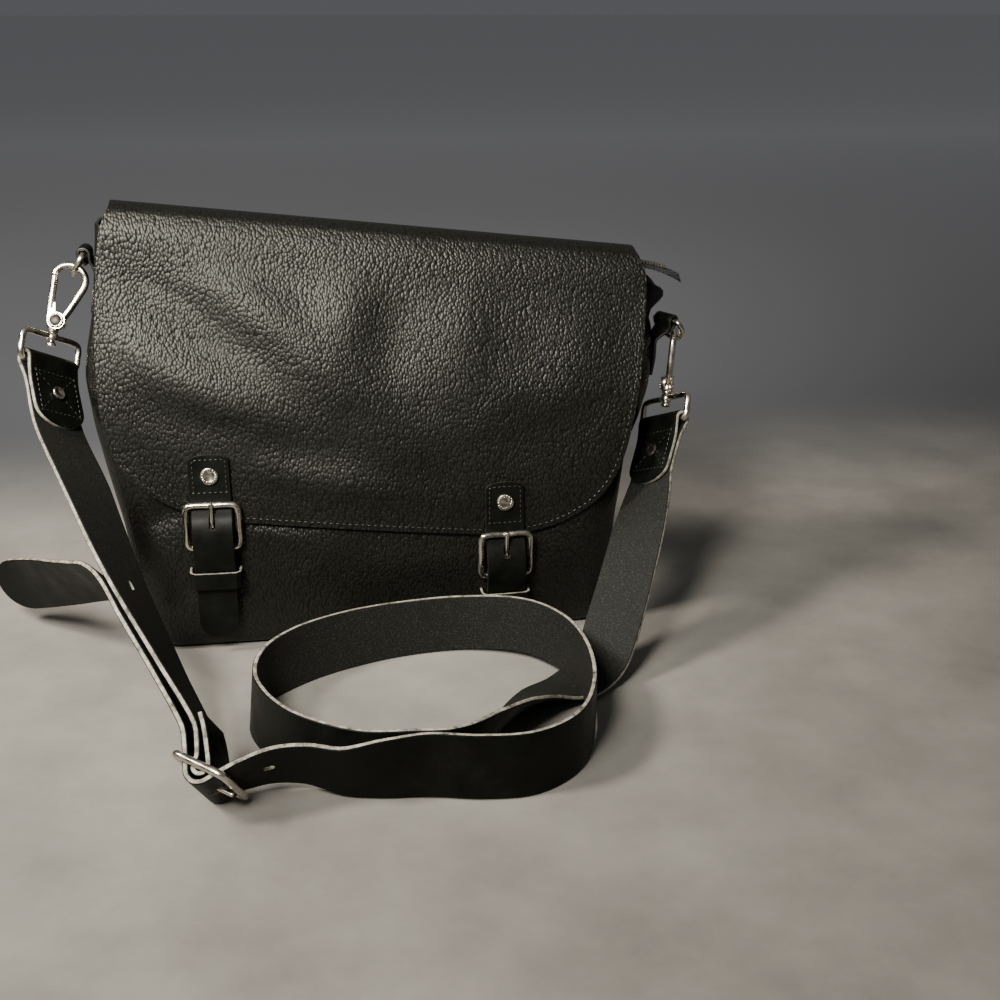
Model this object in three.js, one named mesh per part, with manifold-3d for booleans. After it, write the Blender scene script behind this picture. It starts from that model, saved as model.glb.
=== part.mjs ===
// Leather messenger bag with a buckled flap, its shoulder strap laid in a loop on the floor in front.
// Millimetres. +Z up, +X to the right as seen from the front, the front faces -Y.
// Origin: the middle of the flat base, on the floor.

import * as THREE from 'three';
import { mergeVertices } from 'three/addons/utils/BufferGeometryUtils.js';
import Module from 'manifold-3d';

const wasm = await Module();
wasm.setup();

// Driving sizes
const GAP = 0.3; // air between pieces that touch
const WALL = 2; // body and flap leather
const RIM = 252; // height of the mouth at the middle of the bag
const SLUMP = 0.11; // fall of the mouth per mm towards the right, where the bag has sagged
const FLAP = { centre: 8.2, lean: 0.11, clear: 1.6 };
const FRONT_STRAP = { width: 25.5, thick: 2.4, bar: 2, keeper: 11 };
const STRAP = { width: 38, thick: 3, tip: 13 };
const LOOP_WIRE = 2; // rectangular strap loops
const RING_WIRE = 1.8; // D-rings
const HOOK_WIRE = 2.2;
const BUCKLE_WIRE = 2.1;

// Horizontal sections of the body: share of the local height, half width, front and back, bow of the front
// panel between its corners, corner radius, shift of the section to the right.
const SECTIONS = [
  { share: 0.0, half: 141, front: -37, back: 37, bow: 0, radius: 15, shift: 0 },
  { share: 0.004, half: 146, front: -41, back: 40.5, bow: 0.6, radius: 17, shift: 0 },
  { share: 0.014, half: 151, front: -45, back: 44, bow: 1.2, radius: 19, shift: 0 },
  { share: 0.04, half: 155, front: -47.5, back: 46, bow: 2, radius: 20, shift: 0 },
  { share: 0.1, half: 156.5, front: -48.5, back: 47, bow: 3, radius: 22, shift: -0.5 },
  { share: 0.3, half: 161, front: -48, back: 47, bow: 4, radius: 24, shift: -2 },
  { share: 0.5, half: 171.5, front: -45, back: 45, bow: 4, radius: 27, shift: -2.5 },
  { share: 0.66, half: 182.5, front: -39, back: 42, bow: 3, radius: 29, shift: -1.5 },
  { share: 0.8, half: 176, front: -29, back: 37, bow: 2, radius: 22, shift: 0 },
  { share: 0.92, half: 170.5, front: -19, back: 31, bow: 1.5, radius: 14, shift: 0 },
  { share: 1.0, half: 166, front: -13, back: 28, bow: 1, radius: 11, shift: 0 },
];
const SHARES = [0, 0.004, 0.014, 0.04, 0.1, 0.2, 0.3, 0.4, 0.5, 0.6, 0.68, 0.76, 0.83, 0.88, 0.92, 0.96, 1];

// How far the gussets are pushed out (+) or in (-) along their middle, at shares of their height.
const LEFT_FOLDS = [
  { share: 0, out: 0 },
  { share: 0.5, out: 0 },
  { share: 0.6, out: -5 },
  { share: 0.68, out: -7 },
  { share: 0.76, out: -6 },
  { share: 0.88, out: -6.5 },
  { share: 0.94, out: -4 },
  { share: 1, out: 0 },
];
const RIGHT_FOLDS = [
  { share: 0, out: 0 },
  { share: 0.35, out: 0 },
  { share: 0.5, out: -4 },
  { share: 0.6, out: -2 },
  { share: 0.68, out: 3 },
  { share: 0.76, out: 9 },
  { share: 0.83, out: 13 },
  { share: 0.88, out: 15 },
  { share: 0.92, out: 25 },
  { share: 0.96, out: 20 },
  { share: 1, out: 7 },
];

// The flap's way from its seam on the back over the mouth: depth, and height above the mouth.
const FLAP_TOP = [
  { y: 38.6, rise: -48 },
  { y: 36, rise: -32 },
  { y: 32.4, rise: -12 },
  { y: 31, rise: 0 },
  { y: 25.5, rise: 7.8 },
  { y: 12, rise: 12 },
  { y: -2, rise: 12.8 },
  { y: -11.5, rise: 9.4 },
  { y: -16.8, rise: 3.2 },
  { y: -18.2, rise: -4 },
];

// Half width of the flap down the front, at heights above (+) and below (-) the mouth.
const FLAP_SIDES = [
  { rise: -171, half: 84 },
  { rise: -169.6, half: 98 },
  { rise: -166, half: 113 },
  { rise: -161, half: 126 },
  { rise: -155, half: 136.5 },
  { rise: -148, half: 145.5 },
  { rise: -140, half: 152.5 },
  { rise: -130, half: 158.5 },
  { rise: -116, half: 163.3 },
  { rise: -97, half: 166.8 },
  { rise: -60, half: 170.3 },
  { rise: -8, half: 171 },
  { rise: 0, half: 170 },
  { rise: 6, half: 168 },
  { rise: 11, half: 164.5 },
];

// The two front fastenings: middle of the strap, height of the buckle's top bar, upper end of the strap above
// that bar, and its tip and the keeper's upper edge below that bar.
const FASTENINGS = [
  { name: 'left', x: -106, bar: 103, above: 31, below: 91, band: 44 },
  { name: 'right', x: 79.5, bar: 73, above: 34, below: 68, band: 40 },
];

// The two ends of the shoulder strap. bar: middle of the D-ring's straight bar; out: from it to the ring's
// far wire; barTurn: turn of the bar from the depth of the bag; axis: the hook's long axis, upwards; across:
// along the strap loop, towards the bag; spin: turn of the hook about its own axis; hang: way of the strap
// below the loop.
const ENDS = {
  left: { bar: [-174.4, 3, 251.6], barTurn: 0, out: [-8, 0, -13], axis: [0.17, 0.42, 0.89],
    across: [0.61, 0.67, -0.43], spin: 0, hang: [0.25, -0.55, -0.79] },
  right: { bar: [198, 2, 197], barTurn: -25, out: [8, 0, -13.2], axis: [0.22, 0.5, 0.84],
    across: [-0.44, 0.84, -0.32], spin: 77, hang: [-0.32, -0.62, -0.72] },
};

// Shoulder-strap buckle: its middle, the way along the strap, and up across it.
const STRAP_BUCKLE = { middle: [-104.6, -242.4, 21.4], along: [0.825, -0.52, -0.225],
  up: [-0.214, -0.654, 0.728],
  length: 29.6, width: 43 };

// The long strap between its loop and its buckle: place of its middle line, and the way up across its width.
const FLOOR_ROUTE = [
  { at: [164, -72, 75], up: [-0.72, 0.66, -0.2] },
  { at: [143, -106, 36], up: [-0.76, 0.64, -0.06] },
  { at: [127, -127, 10.5], up: [-0.72, 0.69, -0.03] },
  { at: [110, -140, 3.4], up: [-0.62, 0.78, -0.03] },
  { at: [89, -156, 6.8], up: [-0.62, 0.74, -0.2] },
  { at: [66, -186, 14.4], up: [-0.6, 0.5, -0.6] },
  { at: [45, -220, 19], up: [-0.3, 0.2, -0.93] },
  { at: [24, -241, 19.8], up: [-0.03, 0.05, -1] },
  { at: [0, -240, 19.6], up: [0, 0.05, -1] },
  { at: [-24, -237, 19.4], up: [0, 0.03, -1] },
  { at: [-44, -226, 19.3], up: [0, 0.02, -1] },
  { at: [-64, -207, 19.2], up: [0, 0.02, -1] },
  { at: [-79, -181, 19.2], up: [-0.08, 0, -1] },
  { at: [-84, -156, 19.2], up: [-0.1, 0, -1] },
  { at: [-77, -128, 19.2], up: [-0.06, -0.06, -1] },
  { at: [-56, -104, 19.2], up: [0, -0.12, -1] },
  { at: [-24, -86, 19.2], up: [0, -0.1, -1] },
  { at: [14, -76, 19.4], up: [0, 0, -1] },
  { at: [52, -77, 21], up: [0, 0.06, -1] },
  { at: [86, -94, 24], up: [0, 0.05, -1] },
  { at: [105, -126, 25.4], up: [0, 0, -1] },
  { at: [111, -166, 24.6], up: [0, 0, -1] },
  { at: [106, -204, 21], up: [0, 0.04, -1] },
  { at: [90, -235, 19.4], up: [0, 0.04, -1] },
  { at: [64, -252, 19.3], up: [0, 0, -1] },
  { at: [36, -252.5, 19.8], up: [0, 0, -1] },
  { at: [8, -246.5, 20], up: [0, 0, -1] },
  { at: [-16, -246.5, 19.9], up: [0, 0.15, -1] },
  { at: [-37, -246, 20], up: [0, 0.4, -1] },
  { at: [-56, -240, 22.8], up: [0, 0.55, -1] },
  { at: [-73, -241.5, 24.6], up: [0.1, 0.6, -0.9] },
];

// The long strap's free tail beyond the buckle, to its tip.
const TAIL_ROUTE = [
  { at: [-133, -171, 51.3], up: [0.4, 0.6, -0.7] },
  { at: [-146, -147, 67.1], up: [0.45, 0.6, -0.66] },
  { at: [-158, -120, 75.6], up: [0.45, 0.55, -0.7] },
  { at: [-169, -96, 72.8], up: [0.42, 0.5, -0.76] },
  { at: [-181, -75, 65], up: [0.38, 0.44, -0.81] },
  { at: [-198, -51, 55.2], up: [0.3, 0.36, -0.88] },
  { at: [-215, -27, 45.6], up: [0.2, 0.28, -0.94] },
  { at: [-233, -4, 36], up: [0.12, 0.2, -0.97] },
  { at: [-252, 14, 29], up: [0.1, 0.15, -0.98] },
];

// Materials
const colours = { grain: 0x14150f, smooth: 0x0f0f0d, metal: 0xb3ab9c, fabric: 0x101012 };
const materials = {
  grain: new THREE.MeshStandardMaterial({ name: 'pebbled_leather', color: colours.grain, roughness: 0.6 }),
  smooth: new THREE.MeshStandardMaterial({ name: 'strap_leather', color: colours.smooth, roughness: 0.5 }),
  metal: new THREE.MeshStandardMaterial({ name: 'nickel', color: colours.metal, roughness: 0.3, metalness: 1 }),
  fabric: new THREE.MeshStandardMaterial({ name: 'zip_fabric', color: colours.fabric, roughness: 0.9 }),
};

const bag = new THREE.Group();
bag.name = 'messenger_bag';

// Small helpers for vectors, tables and meshes

function vector(values) {
  return new THREE.Vector3(values[0], values[1], values[2]);
}

// A value between the rows of a table, along a smooth curve.
function between(rows, key, name, value) {
  const last = rows.length - 1;
  const v = Math.min(Math.max(value, rows[0][key]), rows[last][key]);
  let i = 0;
  while (i < last - 1 && v > rows[i + 1][key]) i += 1;
  const slope = (a, b) => (rows[b][name] - rows[a][name]) / (rows[b][key] - rows[a][key]);
  const span = rows[i + 1][key] - rows[i][key];
  const here = slope(i, i + 1);
  const steepest = 2 * Math.abs(here);
  const limit = (m) => (here === 0 || m / here < 0 ? 0 : Math.sign(here) * Math.min(Math.abs(m), steepest));
  const before = i > 0 ? limit(slope(i - 1, i + 1)) : here;
  const after = i < last - 1 ? limit(slope(i, i + 2)) : here;
  const t = (v - rows[i][key]) / span;
  const a = rows[i][name];
  const b = rows[i + 1][name];
  return a * (1 + 2 * t) * (1 - t) ** 2 + b * t * t * (3 - 2 * t)
    + span * (before * t * (1 - t) ** 2 - after * t * t * (1 - t));
}

// Joins the vertices of a geometry and leaves out faces that have collapsed.
function clean(geometry) {
  const bare = new THREE.BufferGeometry();
  bare.setAttribute('position', geometry.getAttribute('position'));
  if (geometry.index) bare.setIndex(geometry.index);
  const merged = mergeVertices(bare, 1e-4);
  const old = merged.index.array;
  const kept = [];
  for (let i = 0; i < old.length; i += 3) {
    const [a, b, c] = [old[i], old[i + 1], old[i + 2]];
    if (a !== b && b !== c && a !== c) kept.push(a, b, c);
  }
  merged.setIndex(kept);
  return merged;
}

function toSolid(geometry) {
  const whole = clean(geometry);
  return new wasm.Manifold(new wasm.Mesh({
    numProp: 3,
    vertProperties: new Float32Array(whole.getAttribute('position').array),
    triVerts: new Uint32Array(whole.index.array),
  }));
}

function fromSolid(solid) {
  const mesh = solid.getMesh();
  const geometry = new THREE.BufferGeometry();
  geometry.setAttribute('position', new THREE.Float32BufferAttribute(mesh.vertProperties, mesh.numProp));
  geometry.setIndex(Array.from(mesh.triVerts));
  return geometry;
}

function join(...geometries) {
  return fromSolid(geometries.map(toSolid).reduce((a, b) => a.add(b)));
}

function cut(geometry, ...tools) {
  return fromSolid(tools.map(toSolid).reduce((a, b) => a.subtract(b), toSolid(geometry)));
}

function add(name, geometry, material, parent = bag) {
  const whole = clean(geometry);
  whole.computeVertexNormals();
  const mesh = new THREE.Mesh(whole, material);
  mesh.name = name;
  parent.add(mesh);
  return mesh;
}

// A closed sheet between an outer and an inner skin, both sampled over the same grid.
function sheet(columns, rows, outer, inner) {
  const nc = columns.length;
  const nr = rows.length;
  const points = [];
  for (const skin of [outer, inner]) {
    for (const r of rows) for (const c of columns) points.push(skin(c, r));
  }
  const id = (layer, r, c) => layer * nc * nr + r * nc + c;
  const faces = [];
  const quad = (a, b, c, d) => faces.push(a, b, c, a, c, d);
  for (let r = 0; r < nr - 1; r += 1) {
    for (let c = 0; c < nc - 1; c += 1) {
      quad(id(0, r, c), id(0, r, c + 1), id(0, r + 1, c + 1), id(0, r + 1, c));
      quad(id(1, r, c), id(1, r + 1, c), id(1, r + 1, c + 1), id(1, r, c + 1));
    }
    quad(id(0, r, 0), id(0, r + 1, 0), id(1, r + 1, 0), id(1, r, 0));
    quad(id(0, r, nc - 1), id(1, r, nc - 1), id(1, r + 1, nc - 1), id(0, r + 1, nc - 1));
  }
  for (let c = 0; c < nc - 1; c += 1) {
    quad(id(0, 0, c), id(1, 0, c), id(1, 0, c + 1), id(0, 0, c + 1));
    quad(id(0, nr - 1, c), id(0, nr - 1, c + 1), id(1, nr - 1, c + 1), id(1, nr - 1, c));
  }
  let volume = 0;
  for (let i = 0; i < faces.length; i += 3) {
    const [a, b, c] = [points[faces[i]], points[faces[i + 1]], points[faces[i + 2]]];
    volume += a.dot(b.clone().cross(c));
  }
  if (volume < 0) faces.reverse();
  const geometry = new THREE.BufferGeometry();
  geometry.setAttribute('position', new THREE.Float32BufferAttribute(points.flatMap((p) => p.toArray()), 3));
  geometry.setIndex(faces);
  return geometry;
}

function steps(from, to, count) {
  return Array.from({ length: count + 1 }, (_, i) => from + ((to - from) * i) / count);
}

// The unit normal of a surface of two parameters, on the side away from a point inside.
function normalOf(surface, a, b, inside) {
  const e = 1e-3;
  const da = surface(a + e, b).sub(surface(a - e, b));
  const db = surface(a, b + e).sub(surface(a, b - e));
  const normal = da.cross(db).normalize();
  return normal.dot(surface(a, b).sub(inside)) < 0 ? normal.negate() : normal;
}

// A leather strip along a route of { at, up } rows: it keeps its width and thickness, and its ends are rounded
// over the given lengths. Returns the geometry and the length of its middle line.
function strip(route, width, thick, tips = [0, 0], finest = 2, coarsest = 13) {
  const places = new THREE.CatmullRomCurve3(route.map((r) => vector(r.at)), false, 'centripetal');
  const fine = 60 * route.length;
  const line = [];
  let length = 0;
  for (let i = 0; i <= fine; i += 1) {
    const p = places.getPoint(i / fine);
    if (i > 0) length += p.distanceTo(line[i - 1].p);
    const whole = (i / fine) * (route.length - 1);
    const k = Math.min(Math.floor(whole), route.length - 2);
    const up = vector(route[k].up).normalize().lerp(vector(route[k + 1].up).normalize(), whole - k);
    line.push({ p, s: length, up });
  }
  const place = (s) => {
    let i = 1;
    while (i < fine && line[i].s < s) i += 1;
    const t = Math.min(Math.max((s - line[i - 1].s) / (line[i].s - line[i - 1].s), 0), 1);
    return { p: line[i - 1].p.clone().lerp(line[i].p, t), up: line[i - 1].up.clone().lerp(line[i].up, t) };
  };
  const wayAt = (s) => place(Math.min(s + 0.4, length)).p.sub(place(Math.max(s - 0.4, 0)).p).normalize();
  const turning = (a, b) => wayAt(a).angleTo(wayAt((a + b) / 2)) + wayAt((a + b) / 2).angleTo(wayAt(b));
  const tipSteps = (r) => [0, 0.05, 0.15, 0.32, 0.6, 1].map((t) => t * r);
  const stations = tips[0] ? tipSteps(tips[0]) : [0];
  const end = length - (tips[1] || 0);
  for (;;) {
    const s = stations[stations.length - 1];
    let step = coarsest;
    while (step > finest && turning(s, Math.min(s + step, length)) > 0.42) step *= 0.85;
    if (s + 1.5 * step > end) break;
    stations.push(s + step);
  }
  if (tips[1]) stations.push(...tipSteps(tips[1]).reverse().map((t) => length - t));
  else stations.push(length);
  const round = (s, r) => (s < r ? Math.sqrt(Math.max(1 - (1 - s / r) ** 2, 0)) : 1);
  const corner = (c, s, side) => {
    const { p, up } = place(s);
    const way = wayAt(s);
    const across = up.addScaledVector(way, -up.dot(way)).normalize();
    const out = new THREE.Vector3().crossVectors(way, across);
    const narrow = Math.min(tips[0] ? round(s, tips[0]) : 1, tips[1] ? round(length - s, tips[1]) : 1);
    const half = (width / 2) * Math.max(narrow, 0.3);
    return p.addScaledVector(across, c * half).addScaledVector(out, side * (thick / 2));
  };
  const geometry = sheet([-1, 1], stations, (c, s) => corner(c, s, 1), (c, s) => corner(c, s, -1));
  return { geometry, length };
}

// A closed ring of round wire through points.
function ring(points, wire, segments = 28, sides = 6) {
  const curve = new THREE.CatmullRomCurve3(points, true, 'centripetal');
  return new THREE.TubeGeometry(curve, segments, wire, sides, true);
}

// A rod of round wire along an open curve through points.
function rod(points, wire, count = 12, quarter = 4) {
  const section = new THREE.Shape();
  section.absarc(0, 0, wire, 0, 2 * Math.PI);
  const path = points.length > 2 ? new THREE.CatmullRomCurve3(points, false, 'centripetal')
    : new THREE.LineCurve3(points[0], points[1]);
  return new THREE.ExtrudeGeometry(section, { steps: count, curveSegments: quarter, bevelEnabled: false,
    extrudePath: path });
}

// Corner points of a rounded rectangle in a plane, for a ring.
function rectanglePoints(width, height, radius, middle, along, up) {
  const points = [];
  const corners = [[1, 1, 0], [-1, 1, 1], [-1, -1, 2], [1, -1, 3]];
  for (const [sx, sy, quarter] of corners) {
    for (const t of [0, 0.5, 1]) {
      const angle = (quarter + t) * (Math.PI / 2);
      const x = sx * (width / 2 - radius) + radius * Math.cos(angle);
      const y = sy * (height / 2 - radius) + radius * Math.sin(angle);
      points.push(middle.clone().addScaledVector(along, x).addScaledVector(up, y));
    }
    const next = corners[(quarter + 1) % 4];
    const mx = quarter % 2 === 0 ? 0 : sx * (width / 2);
    const my = quarter % 2 === 0 ? sy * (height / 2) : 0;
    if (next) points.push(middle.clone().addScaledVector(along, mx).addScaledVector(up, my));
  }
  return points;
}

// A domed head of revolution about +Z, standing on z = 0.
function dome(radius, height, segments = 14) {
  const profile = [[0, 0], [radius, 0], [radius, height * 0.35], [radius * 0.86, height * 0.62],
    [radius * 0.62, height * 0.7], [radius * 0.5, height * 0.95], [0, height]];
  const points = profile.map(([x, y]) => new THREE.Vector2(x, y));
  return new THREE.LatheGeometry(points, segments).rotateX(Math.PI / 2);
}

// Moves a geometry so that its +Z points along a direction, at a place.
function aim(geometry, place, direction) {
  const upwards = new THREE.Vector3(0, 0, 1);
  const turn = new THREE.Quaternion().setFromUnitVectors(upwards, direction.clone().normalize());
  return geometry.applyQuaternion(turn).translate(place.x, place.y, place.z);
}

// Body: front panel, back panel, two gussets and a base, sewn at the corners

const section = (share, name) => between(SECTIONS, 'share', name, share);
const rimAt = (x) => RIM - SLUMP * x;

// Depth of the front panel's outer face at a place seen from the front.
function frontAt(x, z) {
  const share = z / rimAt(x);
  const flat = section(share, 'half') - section(share, 'radius');
  const off = Math.abs(x - section(share, 'shift'));
  const middle = Math.cos((Math.PI / 2) * Math.min(off / flat, 1)) ** 2;
  return section(share, 'front') - section(share, 'bow') * middle;
}

// Front or back panel: s runs from -1 to 1 between the two corner seams.
function panel(facing, s, share) {
  const radius = section(share, 'radius');
  const flat = section(share, 'half') - radius;
  const q = s * (flat + (radius * Math.PI) / 4);
  const side = Math.sign(q) || 1;
  const over = Math.max(Math.abs(q) - flat, 0) / radius;
  const x = section(share, 'shift') + side * (Math.min(Math.abs(q), flat) + radius * Math.sin(over));
  const bow = section(share, 'bow') * Math.cos((Math.PI / 2) * Math.min(Math.abs(q) / flat, 1)) ** 2;
  const drop = radius * (1 - Math.cos(over));
  const y = facing === 'front' ? section(share, 'front') - bow + drop
    : section(share, 'back') + bow * 0.4 - drop;
  return new THREE.Vector3(x, y, share * rimAt(x));
}

// Gusset on the side -1 or 1: s runs from -1 at the front seam to 1 at the back seam.
function gusset(side, s, share) {
  const radius = section(share, 'radius');
  const front = section(share, 'front');
  const back = section(share, 'back');
  const flat = (back - front) / 2 - radius;
  const q = s * (flat + (radius * Math.PI) / 4);
  const over = Math.max(Math.abs(q) - flat, 0) / radius;
  const folds = side > 0 ? RIGHT_FOLDS : LEFT_FOLDS;
  const push = between(folds, 'share', 'out', share) * Math.max(1 - (s * 1.02) ** 2, 0);
  const x = section(share, 'shift') + side * (section(share, 'half') - radius * (1 - Math.cos(over)) + push);
  const y = (front + back) / 2 + (Math.sign(q) || 1) * (Math.min(Math.abs(q), flat) + radius * Math.sin(over));
  return new THREE.Vector3(x, y, share * rimAt(side * section(share, 'half')));
}

function wall(surface, columns) {
  const inside = (share) => new THREE.Vector3(0, 0, 12 + share * 200);
  const inner = (s, share) => {
    if (share === 0) return surface(s, 0).setZ(WALL);
    const normal = normalOf(surface, s, Math.min(share, 0.9988), inside(share));
    return surface(s, share).addScaledVector(normal, -WALL);
  };
  return sheet(columns, SHARES, surface, inner);
}

const panelSeam = 1 - GAP / 2 / 160;
const gussetSeam = 1 - GAP / 2 / 34;
const mirrored = (half) => [...half.slice(1).reverse().map((v) => -v), ...half];
const frontColumns = mirrored([0, 0.4, 0.82, 0.9, 0.95, panelSeam]);
const backColumns = mirrored([0, 0.84, 0.92, panelSeam]);
const gussetColumns = mirrored([0, 0.35, 0.7, gussetSeam]);
const front = (s, share) => panel('front', s, share);
const back = (s, share) => panel('back', s, share);
add('front_panel', wall(front, frontColumns), materials.grain);
add('back_panel', wall(back, backColumns), materials.grain);
add('gusset_left', wall((s, share) => gusset(-1, s, share), gussetColumns), materials.grain);
add('gusset_right', wall((s, share) => gusset(1, s, share), gussetColumns), materials.grain);

const rimOfBase = [...frontColumns.map((s) => front(s, 0)),
  ...gussetColumns.slice(1, -1).map((s) => gusset(1, s, 0)),
  ...backColumns.map((s) => back(-s, 0)), ...gussetColumns.slice(1, -1).map((s) => gusset(-1, -s, 0))];
const baseShape = new THREE.Shape(rimOfBase.map((p, i) => {
  const before = rimOfBase[(i + rimOfBase.length - 1) % rimOfBase.length];
  const after = rimOfBase[(i + 1) % rimOfBase.length];
  const inwards = new THREE.Vector2(before.y - after.y, after.x - before.x).normalize();
  return new THREE.Vector2(p.x, p.y).addScaledVector(inwards, GAP);
}));
add('base_panel', new THREE.ExtrudeGeometry(baseShape, { depth: WALL, bevelEnabled: false }), materials.grain);

// Zip: a fabric tape over the mouth, its end beyond the right gusset, with the closed chain along it

const zipY = 7.5;
const zipHalf = (x) => (x > 171 ? 12 - Math.max(x - 196, 0) * 0.6 : 16.5);
const zipDroop = (x) => Math.max(x - 176, 0) ** 2 * 0.0048;
const zipPlace = (c, x, lift) => new THREE.Vector3(x, zipY + c * zipHalf(x),
  rimAt(x) + lift - zipDroop(x) * (1 - 0.9 * Math.min(c, 0)));
const zipColumns = [-1, -0.5, 0, 0.5, 1];
const zipRows = [-160, -80, 0, 80, 164, 170.9, 171.1, 184, 192, 200, 207];
add('zip_tape', sheet(zipColumns, zipRows, (c, x) => zipPlace(c, x, 2), (c, x) => zipPlace(c, x, 1)),
  materials.fabric);
const chainPlace = (c, x, lift) => new THREE.Vector3(x, zipY + 0.8 + c * 2.6, rimAt(x) + lift - zipDroop(x));
add('zip_chain', sheet([-1, 1], [-158, 0, 120, 176, 184, 192, 199], (c, x) => chainPlace(c, x, 4.5),
  (c, x) => chainPlace(c, x, 2.3)), materials.metal);

// Flap: one sheet sewn to the back, lying over the mouth and down the front

const flapHalf = (rise) => between(FLAP_SIDES, 'rise', 'half', rise);
const flapPoints = FLAP_TOP.map((r) => new THREE.Vector3(0, r.y, r.rise));
const flapTop = new THREE.CatmullRomCurve3(flapPoints, false, 'centripetal');
const topRows = steps(0, 1, 9);
const frontRows = [-14, -34, -58, -82, -104, -120, -132, -142, -150, -157, -163, -168, -171];

// Middle of the flap's sheet: rows up to 1 run over the top, later ones down the front.
function flapMiddle(s, row) {
  if (row <= 1) {
    const p = flapTop.getPoint(row);
    const side = s * (p.y > 14 ? flapHalf(11) : flapHalf(p.z));
    const lean = p.y < 10 ? FLAP.lean * Math.min(p.z, 0) : 0;
    return new THREE.Vector3(FLAP.centre + side + lean, p.y, rimAt(FLAP.centre + side) + p.z);
  }
  const rise = frontRows[row - 2];
  const side = s * flapHalf(rise);
  const x = FLAP.centre + side + FLAP.lean * rise;
  const z = rimAt(FLAP.centre + side) + rise;
  return new THREE.Vector3(x, frontAt(x, z) - FLAP.clear - WALL / 2, z);
}
const flapRows = [...topRows, ...frontRows.map((_, i) => 2 + i)];
const flapSides = (side) => (s, row) => {
  const i = flapRows.indexOf(row);
  const before = flapMiddle(s, flapRows[Math.max(i - 1, 0)]);
  const after = flapMiddle(s, flapRows[Math.min(i + 1, flapRows.length - 1)]);
  const along = after.sub(before);
  const across = flapMiddle(s + 0.01, row).sub(flapMiddle(s - 0.01, row));
  const normal = along.cross(across).normalize();
  return flapMiddle(s, row).addScaledVector(normal, side * (WALL / 2));
};
add('flap', sheet(steps(-1, 1, 10), flapRows, flapSides(1), flapSides(-1)), materials.grain);

// Front fastenings

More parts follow.
